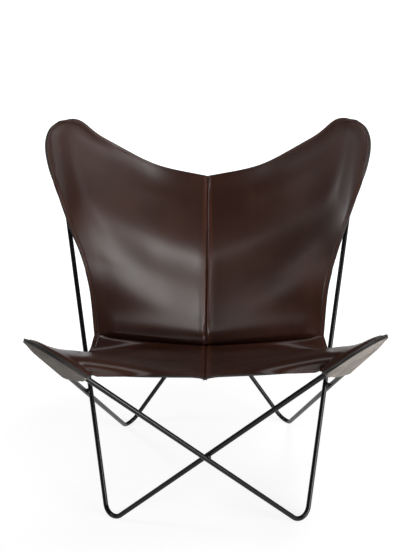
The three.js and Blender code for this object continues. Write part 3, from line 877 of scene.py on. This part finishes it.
def free_edge(half):
    """The free edge from the seam at the front round to the seam at the top, and where it is sewn."""
    s = np.linspace(0, 1, EDGE_STEPS)
    curves = [curve.share(s) for curve in (half.front_edge, half.wing_edge, half.side_edge)]
    curves.append(half.top_edge.share(1 - s))
    sewn_front = smooth((s - SEWN_FRONT) / SEWN_FRONT_OVER)
    sewn_top = smooth((SEWN_TOP - s) / SEWN_TOP_OVER)
    return np.concatenate(curves), np.concatenate([sewn_front, np.ones(2 * EDGE_STEPS), sewn_top])


def edge_readings(half, grid):
    """Each point's distance from the free edge, and whether the edge is sewn there."""
    edge, sewn = free_edge(half)
    tree = kdtree.KDTree(len(edge))
    for k, p in enumerate(edge):
        tree.insert(p, k)
    tree.balance()
    found = [tree.find(p) for p in grid.reshape(-1, 3)]
    distance = np.array([f[2] for f in found]).reshape(grid.shape[:2])
    return distance, sewn[[f[1] for f in found]].reshape(grid.shape[:2])


# %% Seat drawn smooth between its edges
CALM_ROUNDS = 400
CALM_PACE = 0.5
CALM_FROM = 2
CALM_FULL = 190


def calm_seat(grid, distance):
    """Lets bends of the free edge die away into the seat."""
    height = grid[:SEAT_ROWS, :, 2].copy()
    free = CALM_PACE * smooth((distance[1:SEAT_ROWS - 1] - CALM_FROM) / (CALM_FULL - CALM_FROM))
    for _ in range(CALM_ROUNDS):
        height[1:-1] += free * ((height[:-2] + height[2:]) / 2 - height[1:-1])
    calmed = grid.copy()
    calmed[:SEAT_ROWS, :, 2] = height
    return calmed


# %% Fold between back and seat
FOLD_BULGE = 10
FOLD_LIP = 15
FOLD_EASE = 42
SEAT_SWELL = 1.2
SEAT_LIP = 9
SEAT_EASE = 30
FOLD_DEPTH = 6
FOLD_WIDTH = 6
FOLD_END = 4
FOLD_END_OVER = 52


def hump(x, width):
    """1 at 0, dying away on both sides."""
    return np.exp(-(x / width) ** 2)


def lip(s, height, reach, ease):
    """A rounded lip that leaves the fold steeply and dies away slowly."""
    x = np.clip(s / reach, 0, None)
    rise = np.sqrt(np.clip(x * (2 - x), 0, 1))
    return height * np.where(x < 1, rise, hump((x - 1) * reach, ease))


# %% Puckers where the fold ends
PUCKER = 0.5
PUCKER_WIDTH = 5
PUCKER_WIDEN = 0.16
PUCKER_REACH = 1.6
PUCKER_START = 12
PUCKER_END = 75
PUCKER_END_OVER = 50


def pucker(above, distance):
    spread = PUCKER_WIDTH + PUCKER_WIDEN * distance
    gather = PUCKER * np.cos(math.pi * above / spread) * hump(above, PUCKER_REACH * spread)
    return gather * smooth(distance / PUCKER_START) * smooth((PUCKER_END - distance) / PUCKER_END_OVER)


def fold(half, grid, distance):
    """Sinks the fold and swells the leather on both sides of it."""
    normals = grid_normals(grid) * half.hand
    steps = np.linalg.norm(np.diff(grid, axis=0), axis=2)
    run = np.concatenate([np.zeros((1, grid.shape[1])), np.cumsum(steps, axis=0)])
    above = run - run[SEAT_ROWS - 1]
    fade = smooth((distance - FOLD_END) / FOLD_END_OVER)
    back_lip = lip(np.maximum(above, 0), FOLD_BULGE, FOLD_LIP, FOLD_EASE)
    seat_lip = lip(np.maximum(-above, 0), SEAT_SWELL, SEAT_LIP, SEAT_EASE)
    valley = FOLD_DEPTH * hump(above, FOLD_WIDTH)
    out = (back_lip + seat_lip - valley) * fade - pucker(above, distance)
    return grid + normals * out[..., None]


# %% Waves in the hide and the welt beside the seam
WAVE = 0.5
WAVE_LENGTH = 140
WAVE_EDGE = 12
WAVE_EDGE_OVER = 60
WAVE_SEAM = 10
WAVE_SEAM_OVER = 50
SEAM_WELT = 0.9
WELT_AT = 9
WELT_WIDTH = 5


def waves(grid, distance, away):
    wave = np.array([noise.noise(p / WAVE_LENGTH) for p in grid.reshape(-1, 3)]).reshape(grid.shape[:2])
    clear_of_edge = smooth((distance - WAVE_EDGE) / WAVE_EDGE_OVER)
    clear_of_seam = smooth((away - WAVE_SEAM) / WAVE_SEAM_OVER)
    return WAVE * wave * (clear_of_edge * clear_of_seam) + SEAM_WELT * hump(away - WELT_AT, WELT_WIDTH)


# %% Hollow of the back, and its top edge leaning forward
HOLLOW = 15
HOLLOW_AT = 0.52
HOLLOW_CLIMB = 0.16
HOLLOW_BELOW = 0.2
HOLLOW_ABOVE = 0.27
HOLLOW_EDGE = 90
TOP_FORWARD = 11
TOP_REACH_DOWN = 45
TOP_END = 0.95
TOP_END_OVER = 0.4


def hollow(distance, across):
    past = BACK_SHARE[:, None] - (HOLLOW_AT + HOLLOW_CLIMB * across)
    reach = np.where(past < 0, HOLLOW_BELOW, HOLLOW_ABOVE)
    return HOLLOW * hump(past, reach) * smooth(distance / HOLLOW_EDGE) * (BACK_SHARE > 0)[:, None]


def top_forward(grid, across):
    from_top = np.linalg.norm(grid - grid[-1], axis=2)
    return TOP_FORWARD * np.exp(-from_top / TOP_REACH_DOWN) * smooth((TOP_END - across) / TOP_END_OVER)


# %% Ease the hide, with the dip at the front of the seam
FRONT_DIP = 4.5
DIP_WIDTH = 15
DIP_LENGTH = 26


def ease_hide(half, grid, distance, seam_x):
    """Gives a panel its waves, hollow and lean, and measures how far each point is from the seam."""
    normals = grid_normals(grid) * half.hand
    away = np.abs(grid[..., 0] - seam_x[:, None])
    across = away / away[:, -1:]
    out = waves(grid, distance, away) - hollow(distance, across) + top_forward(grid, across)
    eased = grid + normals * out[..., None]
    from_front = np.linalg.norm(eased - eased[0], axis=2)
    eased[..., 2] -= FRONT_DIP * hump(away, DIP_WIDTH) * hump(from_front, DIP_LENGTH)
    return eased, away


# %% Roll into the seam
ROLL_STEPS = 8
SEAM_FLANGE = 10
FLANGE_STEPS = 3
FLANGE_TRIM = 30
FLANGE_LEAST = 0.8


def into_seam(half, grid):
    """The way in which each row of leather turns down into the seam."""
    normals = grid_normals(grid) * half.hand
    return -unit(normals[:, 1] * vec(0, 1, 1))


def roll_seam(half, grid, seam_x):
    """Adds the columns that turn down into the seam and lie against the other half."""
    down = into_seam(half, grid)
    front_run = np.linalg.norm(grid[:, 0] - grid[0, 0], axis=1)
    top_run = np.linalg.norm(grid[:, 0] - grid[-1, 0], axis=1)
    trim = smooth(np.minimum(front_run, top_run) / FLANGE_TRIM)
    depth = mix(SEAM_ROLL + FLANGE_LEAST, SEAM_FLANGE, trim)
    columns = [(SEAM_START, mix(depth, SEAM_ROLL, k / FLANGE_STEPS)) for k in range(FLANGE_STEPS)]
    for angle in np.linspace(0, math.pi / 2, ROLL_STEPS, endpoint=False):
        columns.append((SEAM_START + SEAM_ROLL * (1 - math.cos(angle)), SEAM_ROLL * (1 - math.sin(angle))))
    strips = []
    for out, drop in columns:
        base = grid[:, 0].copy()
        base[:, 0] = seam_x + half.hand * out
        strips.append(base + down * drop[:, None])
    return np.concatenate([np.stack(strips, axis=1), grid], axis=1), len(columns)


# %% Make the panels
GRAIN_OUT = [grain_leather.material, cut_edge.material, flesh_leather.material]

panels = {}
for side, half in HALVES.items():
    grid, seam_x = panel_surface(half)
    distance, sewn_here = edge_readings(half, grid)
    grid = half.back.pillow(calm_seat(grid, distance), distance)
    grid = half.back.over(half.front.over(grid))
    grid = fold(half, grid, distance)
    grid, away = ease_hide(half, grid, distance, seam_x)
    grid = half.back.over(grid)
    on_ear = half.back.near(grid)
    grid, added = roll_seam(half, grid, seam_x)
    widen = ((0, 0), (added, 0))
    values = {
        "from_edge": np.pad(distance, widen, "edge"),
        "sewn": np.pad(sewn_here, widen, "edge"),
        "from_seam": np.pad(away, widen, "constant"),
        "on_ear": np.pad(on_ear, widen, "edge"),
    }
    panel = leather_sheet(f"panel_{side}", grid, half.hand, GRAIN_OUT, values)
    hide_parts(f"sling_panel_{side}")
    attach(panel, "root")
    declare_sheet(grid)
    panels[side] = panel

# %% [markdown]
# ## Pockets and strips
# Each ear slips into a pocket that is sewn to the panel round its edge and open towards the middle. The
# leather runs from the stitch line tight under the rods to a mouth that hangs in a slight bow. A strip
# backs the hollow side edge between the pockets. The ends of each edge are skived inward, so they do
# not show from the front. All of them are measured off the surface of their half, so that they follow
# the panel.

# %% Lines on the underside
ROW_STEP = 0.001
ROW_END = 12 * ROW_STEP
COLUMN_STEP = 1
SKIVED = 7


def under_panel(half, part, from_edge, v, depth):
    """Points behind the panel, at a depth below its middle."""
    at = np.maximum(from_edge, STITCH_INSET / 2)
    row = np.clip(v, ROW_END, 1 - ROW_END)
    outward = half.surface(part, at - COLUMN_STEP, row) - half.surface(part, at + COLUMN_STEP, row)
    onward = half.surface(part, at, row + ROW_STEP) - half.surface(part, at, row - ROW_STEP)
    normal = unit(np.cross(outward, onward)) * half.hand
    return half.surface(part, from_edge, v) - normal * depth


def skive(t, start, end):
    """How far an edge is drawn in near its two ends; 0 leaves that end alone."""
    at_start = smooth(1 - t / start) if start else 0
    at_end = smooth(1 - (1 - t) / end) if end else 0
    return SKIVED * np.maximum(at_start, at_end)


# %% Edge and stitch line of a pocket
POCKET_ROWS = 150
POCKET_EASE = 1.2
EVEN_ROUNDS = 10


def even_line(points):
    """Evens out a line of points and keeps as many as a pocket has rows."""
    pick = np.round(np.linspace(0, len(points) - 1, POCKET_ROWS)).astype(int)
    line = points[pick]
    for _ in range(EVEN_ROUNDS):
        line[1:-1] = (line[:-2] + 2 * line[1:-1] + line[2:]) / 4
    return line


def pocket_lines(half, part, from_edge, v, sewn_rows):
    """The cut edge, and the stitch line that lies inside it and between the sewn rows."""
    edge = under_panel(half, part, from_edge, v, LAYER)
    sewn_from_edge, sewn_v = np.maximum(from_edge, STITCH_INSET), np.clip(v, *sewn_rows)
    stitch_line = under_panel(half, part, sewn_from_edge, sewn_v, LAYER + POCKET_EASE)
    return even_line(edge), even_line(stitch_line)


# %% Pocket shape
POCKET_COLUMNS = 60
POCKET_PULL = 1.3
LIP_COLUMNS = 6
MOUTH_BOW = 9
MOUTH_END = 0.96
MOUTH_CLOSE = 0.3
MOUTH_CLOSE_FROM = 0.95
MOUTH_CLOSE_OVER = 0.05


def pocket_grid(edge, stitch_line, mouth_from, mouth_to, ear):
    """A pocket from its cut edge over its stitch line to its mouth, drawn under the ear."""
    t = np.linspace(0, 1, POCKET_ROWS)
    along = np.minimum(1, t / MOUTH_END)[:, None]
    mouth = mix(mouth_from, mouth_to, along) - ear.bend.out * MOUTH_BOW * np.sin(math.pi * along)
    close = 1 - (1 - MOUTH_CLOSE) * smooth((t - MOUTH_CLOSE_FROM) / MOUTH_CLOSE_OVER)
    mouth = mix(stitch_line, mouth, close[:, None])
    share = np.linspace(0, 1, POCKET_COLUMNS) ** POCKET_PULL
    body = ear.under(mix(stitch_line[:, None], mouth[:, None], share[None, :, None]))
    lip_share = np.linspace(0, 1, LIP_COLUMNS, endpoint=False)
    lips = mix(edge[:, None], stitch_line[:, None], lip_share[None, :, None])
    return np.concatenate([lips, body], axis=1)


# %% Front pockets
FRONT_REACH = 30
FRONT_STEPS = 14
FRONT_ROW = 9 / 440
WING_END = 7 / 9
WING_STEPS = 160
WING_SKIVE = 0.12
MOUTH_FRONT = 190
MOUTH_REAR = 365


def front_pocket(half):
    front = half.front
    wing = np.linspace(0, WING_END, WING_STEPS)
    drawn = skive(wing / WING_END, 0, WING_SKIVE)
    from_edge = np.concatenate([np.linspace(FRONT_REACH, 0, FRONT_STEPS), drawn[1:]])
    v = np.concatenate([np.zeros(FRONT_STEPS), wing[1:]])
    lines = pocket_lines(half, "seat", from_edge, v, (FRONT_ROW, 1))
    mouth_from = front.on_rod(front.bend.a, MOUTH_FRONT, -LIFT)
    mouth_to = front.on_rod(front.bend.b, MOUTH_REAR, -LIFT) + front.side_way * LIFT
    return pocket_grid(*lines, mouth_from, mouth_to, front)


# %% Back pockets
SIDE_START = 4 / 7
SIDE_STEPS = 130
SIDE_SKIVE = 0.2
TOP_REACH = 190
TOP_STEPS = 50
TOP_ROW = 1 - 9 / 450
BACK_POCKET_INNER = 260


def back_pocket(half):
    back = half.back
    side = np.linspace(SIDE_START, 1, SIDE_STEPS)
    drawn = skive((side - SIDE_START) / (1 - SIDE_START), SIDE_SKIVE, 0)
    from_edge = np.concatenate([drawn, np.linspace(0, TOP_REACH, TOP_STEPS)[1:]])
    v = np.concatenate([side, np.ones(TOP_STEPS)[1:]])
    lines = pocket_lines(half, "back", from_edge, v, (0, TOP_ROW))
    mouth_from = back.on_rod(back.bend.b, BACK_POCKET_SIDE - 2 * BACK_MARGIN, -LIFT)
    mouth_to = back.on_rod(back.bend.a, BACK_POCKET_INNER, -LIFT) + back.inner_way * LIFT
    return pocket_grid(*lines, mouth_from, mouth_to, back)


# %% Side strips
STRIP_WIDTH = 22
STRIP_COLUMNS = 16
STRIP_FRONT = 7.5 / 9
STRIP_SEAT_ROWS = 40
STRIP_TOP = 2 / 7
STRIP_BACK_ROWS = 60
STRIP_SKIVE = 0.2


def side_strip(half):
    on_seat = np.linspace(STRIP_FRONT, 1, STRIP_SEAT_ROWS)
    on_back = np.linspace(0, STRIP_TOP, STRIP_BACK_ROWS)[1:]
    count = len(on_seat) + len(on_back)
    drawn = skive(np.arange(count) / (count - 1), STRIP_SKIVE, STRIP_SKIVE)[:, None]
    from_edge = drawn + (STRIP_WIDTH - drawn) * np.linspace(0, 1, STRIP_COLUMNS)
    seat_side, back_side = np.split(from_edge, [STRIP_SEAT_ROWS])
    rows = []
    for part, inward, v in (("seat", seat_side, on_seat), ("back", back_side, on_back)):
        rows.append(under_panel(half, part, inward, np.repeat(v[:, None], STRIP_COLUMNS, axis=1), LAYER))
    return np.concatenate(rows)


# %% Make pockets and strips
FLESH_OUT = [flesh_leather.material, cut_edge.material, flesh_leather.material]
BACKINGS = {"front_pocket": front_pocket, "back_pocket": back_pocket, "side_strip": side_strip}

for side, half in HALVES.items():
    for kind, shape in BACKINGS.items():
        grid = shape(half)
        piece = leather_sheet(f"{kind}_sheet_{side}", grid, half.hand, FLESH_OUT, {})
        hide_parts(f"{kind}_{side}")
        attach(piece, "root")
        declare_sheet(grid)

# %% [markdown]
# ## Stitches
# A saddler sews with waxed thread: short bars that sink a little at both ends. A texture could show
# them, but thread stands up from the leather and catches the light, so it is made as geometry. One
# stitch is drawn once, as a bent bar, and Geometry Nodes sets a copy at every step along a path. Each
# point of the path carries the way the leather faces, so that every stitch lies flat on it.

# %% Thread
THREAD_DEEP = (0.020, 0.006, 0.004, 1)
THREAD_LIGHT = (0.060, 0.020, 0.013, 1)

thread = Finish("thread", {"Roughness": 0.5, "Specular IOR Level": 0.4})
twist = thread.noise(900, 2, 0.5)
thread.set("Base Color", thread.blend(twist, THREAD_DEEP, THREAD_LIGHT))
thread.bump(twist * 0.15)
print("thread", len(thread.tree.nodes), "nodes")

# %% One tree for every row of stitches
STITCH_SIZES = {"Pitch": 0.0065, "Stitch length": 0.0052, "Thread": 0.0011, "Rise": 0.0003}
STITCH_STEPS = 5
THREAD_SIDES = 6


class StitchTree:
    """The Geometry Nodes tree that sets stitches along a path."""

    def __init__(self):
        self.tree = bpy.data.node_groups.new("stitch_row", "GeometryNodeTree")
        self.socket("Path", "INPUT", "NodeSocketGeometry")
        self.sizes = {name: self.socket(name, "INPUT", "NodeSocketFloat") for name in STITCH_SIZES}
        self.socket("Stitches", "OUTPUT", "NodeSocketGeometry")
        self.given = self.node("NodeGroupInput").outputs
        copies = self.copies(self.stitch())
        plain = self.first("GeometryNodeRealizeInstances", {"Geometry": copies})
        soft = self.first("GeometryNodeSetShadeSmooth", {"Geometry": plain})
        waxed = self.first("GeometryNodeSetMaterial", {"Geometry": soft, "Material": thread.material})
        self.node("NodeGroupOutput", {0: waxed})

    def socket(self, name, in_out, kind):
        return self.tree.interface.new_socket(name, in_out=in_out, socket_type=kind).identifier

    def node(self, kind, inputs=None, **settings):
        made = self.tree.nodes.new(kind)
        for key, value in settings.items():
            setattr(made, key, value)
        for key, value in (inputs or {}).items():
            if isinstance(value, bpy.types.NodeSocket):
                self.tree.links.new(value, made.inputs[key])
            else:
                made.inputs[key].default_value = value
        return made

    def first(self, kind, inputs=None, **settings):
        return self.node(kind, inputs, **settings).outputs[0]

    def times(self, a, b):
        return self.first("ShaderNodeMath", {0: a, 1: b}, operation="MULTIPLY")

    def at(self, x, z):
        return self.first("ShaderNodeCombineXYZ", {0: x, 2: z})

    def stitch(self):
        """One bent bar: it rises in the middle and sinks at both ends."""
        half = self.times(self.given["Stitch length"], 0.5)
        sunk = self.times(self.given["Rise"], -1.0)
        bar = self.first("GeometryNodeCurveQuadraticBezier", {
            "Resolution": STITCH_STEPS,
            "Start": self.at(self.times(half, -1.0), sunk),
            "Middle": self.at(0.0, self.times(self.given["Rise"], 2.0)),
            "End": self.at(half, sunk),
        })
        wire = {"Resolution": THREAD_SIDES, "Radius": self.times(self.given["Thread"], 0.5)}
        section = self.first("GeometryNodeCurvePrimitiveCircle", wire)
        sweep = {"Curve": bar, "Profile Curve": section, "Fill Caps": True}
        return self.first("GeometryNodeCurveToMesh", sweep)

    def copies(self, stitch):
        """A stitch at every step of the path, along it and flat on the leather."""
        curve = self.first("GeometryNodeMeshToCurve", {"Mesh": self.given["Path"]})
        along = {"Curve": curve, "Length": self.given["Pitch"]}
        steps = self.first("GeometryNodeResampleCurve", along, mode="LENGTH")
        up = self.first("GeometryNodeInputNamedAttribute", {"Name": "up"}, data_type="FLOAT_VECTOR")
        axes = {"Primary Axis": self.first("GeometryNodeInputTangent"), "Secondary Axis": up}
        turn = self.first("FunctionNodeAxesToRotation", axes, primary_axis="X", secondary_axis="Z")
        placed = {"Points": steps, "Instance": stitch, "Rotation": turn}
        return self.first("GeometryNodeInstanceOnPoints", placed)


stitch_row = StitchTree()
print("stitch tree", len(stitch_row.tree.nodes), "nodes")

# %% Sew along paths
def path_mesh(name, paths):
    """A mesh of lines, each a pair of points and the ways the leather faces there."""
    points = np.concatenate([p for p, _ in paths])
    ups = np.concatenate([u for _, u in paths])
    edges, first = [], 0
    for p, _ in paths:
        edges += [(first + k, first + k + 1) for k in range(len(p) - 1)]
        first += len(p)
    mesh = bpy.data.meshes.new(name)
    mesh.from_pydata(((points + SHIFT) / PER_METRE).tolist(), edges, [])
    layer = mesh.attributes.new("up", "FLOAT_VECTOR", "POINT")
    layer.data.foreach_set("vector", ups.ravel().astype(np.float32))
    return mesh


def sew(name, paths, nodes):
    """Sets stitches along paths and makes them one plain piece."""
    path = bpy.data.objects.new(name + "_path", path_mesh(name, paths))
    bpy.context.scene.collection.objects.link(path)
    modifier = path.modifiers.new("stitch_row", "NODES")
    modifier.node_group = stitch_row.tree
    for key, size in STITCH_SIZES.items():
        modifier[stitch_row.sizes[key]] = size
    grown = path.evaluated_get(bpy.context.evaluated_depsgraph_get())
    sewn_mesh = bpy.data.meshes.new_from_object(grown)
    bpy.data.objects.remove(path)
    piece = bpy.data.objects.new(name, sewn_mesh)
    bpy.context.scene.collection.objects.link(piece)
    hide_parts(*nodes)
    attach(piece, "root")
    print(name, len(sewn_mesh.polygons), "faces")


# %% [markdown]
# ## Sewing the edges and the seam
# The edge stitches follow the free edge at a fixed distance, from the front rod round the wing, up the
# side and round the ear. The distance is laid off square to the edge, and each point is then dropped
# onto the panel. The seam is sewn through its two turned-down edges, which shows only from behind.

# %% Edge stitches
STITCH_LINE = STITCH_INSET + 0.5
EDGE_SKIP = 3
EAR_REACH = 130


def grain_skin(panel):
    """The panel's grain side in millimetres, for finding the nearest place on it, and its middle."""
    places = np.array([v.co for v in panel.data.vertices]) * PER_METRE - SHIFT
    faces = [list(p.vertices) for p in panel.data.polygons if p.material_index == FACE]
    return bvhtree.BVHTree.FromPolygons(places.tolist(), faces), places.mean(axis=0)


def edge_path(half, panel):
    edge, sewn = free_edge(half)
    edge = edge[sewn > 0.5][::EDGE_SKIP]
    way = unit(np.gradient(edge, axis=0))
    skin, middle = grain_skin(panel)
    centres = [half.front.bend.centre, half.back.bend.centre]
    points, ups = [], []
    for p, t in zip(edge, way):
        near = [centre for centre in centres if np.linalg.norm(p - centre) < EAR_REACH]
        inward = (near[0] if near else middle) - p
        inward = unit(inward - t * (inward @ t))
        found, normal, _, _ = skin.find_nearest((p + inward * STITCH_LINE).tolist())
        points.append(found)
        ups.append(normal)
    return np.array(points), np.array(ups)


for side, half in HALVES.items():
    sew(f"edge_stitches_{side}", [edge_path(half, panels[side])], [f"edge_thread_{side}"])

# %% Seam stitches
SEAM_STITCH_DEPTH = 7.5
SEAM_ENDS = 12


def seam_path(half):
    """A row of stitches on the outer face of one turned-down edge."""
    grid, seam_x = panel_surface(half)
    line = grid[:, 0] + into_seam(half, grid) * SEAM_STITCH_DEPTH
    line[:, 0] = seam_x + half.hand * (SEAM_START + LEATHER / 2)
    line = line[SEAM_ENDS:-SEAM_ENDS]
    return line, np.tile(vec(half.hand, 0, 0), (len(line), 1))


sew("seam_stitches", [seam_path(half) for half in HALVES.values()], ["seam_thread"])

# %% [markdown]
# ## Floor and light
# The photograph looks like a white studio: a pale wall all round, a dark ceiling and soft boxes. The
# strongest stands low at the front right, with a weak fill beside the camera. One hangs overhead, a
# narrow one high at the right draws the highlight on the back, and two small ones stand at the left.
# The floor is a very large white sheet. What the camera sees of it is mostly plain white, and near the
# chair the rest still takes the shadow, so the picture needs no backdrop.

# %% Floor
FLOOR_REACH = 120
FLOOR_WHITE = {"Base Color": (0.85, 0.85, 0.85, 1), "Roughness": 0.9, "Specular IOR Level": 0.1}
SEEN_GLOW = 0.37
SHADOW_NEAR = 0.6
SHADOW_FAR = 1.4
SHADOW_GLOW = 0.62


def floor_finish():
    finish = Finish("floor_white", FLOOR_WHITE)
    rays = ("Is Camera Ray", "Is Glossy Ray", "Is Transmission Ray")
    seen, mirrored, through = [finish.node("ShaderNodeLightPath", output=ray) for ray in rays]
    shown = finish.node("ShaderNodeMath", {"operation": "MAXIMUM"}, {0: seen, 1: mirrored})
    shown = finish.node("ShaderNodeMath", {"operation": "MAXIMUM"}, {0: shown, 1: through})
    away = finish.node("ShaderNodeVectorMath", {"operation": "LENGTH"}, {0: finish.place()}, "Value")
    light = {"Color": (1, 1, 1, 1), "Strength": seen * SEEN_GLOW + 1.0}
    glow = finish.node("ShaderNodeEmission", {}, light)
    share = shown * finish.between(away, SHADOW_NEAR, SHADOW_FAR, SHADOW_GLOW, 1.0)
    surface = Value(finish, finish.surface.outputs[0])
    final = finish.node("ShaderNodeMixShader", {}, {0: share, 1: surface, 2: glow})
    finish.plug(finish.tree.nodes["Material Output"].inputs["Surface"], final)
    return finish.material


def floor_sheet(reach):
    mesh = bpy.data.meshes.new("floor")
    corners = [(-reach, -reach, 0), (reach, -reach, 0), (reach, reach, 0), (-reach, reach, 0)]
    mesh.from_pydata(corners, [], [(0, 1, 2, 3)])
    mesh.materials.append(floor_finish())
    floor = bpy.data.objects.new("floor", mesh)
    bpy.context.scene.collection.objects.link(floor)


floor_sheet(FLOOR_REACH)
print("floor", 2 * FLOOR_REACH, "m wide")

# %% Soft boxes
AIM = vec(0, 0.1, 0.55)


def soft_box(name, azimuth, height, distance, size, power):
    """A lamp placed by its compass angle from the viewer and its height angle, in degrees."""
    a, e = math.radians(azimuth), math.radians(height)
    way = vec(math.sin(a) * math.cos(e), -math.cos(a) * math.cos(e), math.sin(e))
    data = bpy.data.lights.new(name, "AREA")
    data.shape = "RECTANGLE"
    data.size, data.size_y = size
    data.energy = power
    lamp = bpy.data.objects.new(name, data)
    bpy.context.scene.collection.objects.link(lamp)
    lamp.location = AIM + way * distance
    lamp.rotation_euler = Vector(-way).to_track_quat("-Z", "Y").to_euler()


# Compass angle, height angle, distance and size in metres, and power in watts
soft_box("front_light", 50, 4, 3.0, (1.4, 1.4), 66)
soft_box("front_fill", 10, 5, 3.0, (1.4, 1.2), 6)
soft_box("top_light", 0, 86, 2.6, (1.8, 1.8), 15)
soft_box("key_light", 72, 62, 2.6, (1.2, 0.4), 14.5)
soft_box("left_light", -84, 33, 2.6, (0.5, 0.35), 13)
soft_box("glow_light", -55, 58, 2.6, (0.4, 0.2), 1.2)
print("lamps", len(bpy.data.lights))

# %% Studio walls
WALL_TOP = 0.05
CEILING_FROM = 0.35
WALL_LIGHT = 0.35
CEILING_LIGHT = 0.05

world = bpy.data.worlds.new("studio")
world.use_nodes = True
links, nodes = world.node_tree.links, world.node_tree.nodes
ways = nodes.new("ShaderNodeTexCoord")
parts = nodes.new("ShaderNodeSeparateXYZ")
walls = nodes.new("ShaderNodeMapRange")
walls.interpolation_type = "SMOOTHSTEP"
for socket, value in zip(walls.inputs[1:5], (WALL_TOP, CEILING_FROM, WALL_LIGHT, CEILING_LIGHT)):
    socket.default_value = value
links.new(ways.outputs["Generated"], parts.inputs[0])
links.new(parts.outputs["Z"], walls.inputs[0])
nodes["Background"].inputs["Color"].default_value = (1, 1, 1, 1)
links.new(walls.outputs[0], nodes["Background"].inputs["Strength"])
bpy.context.scene.world = world
bpy.context.scene.view_settings.view_transform = "Standard"
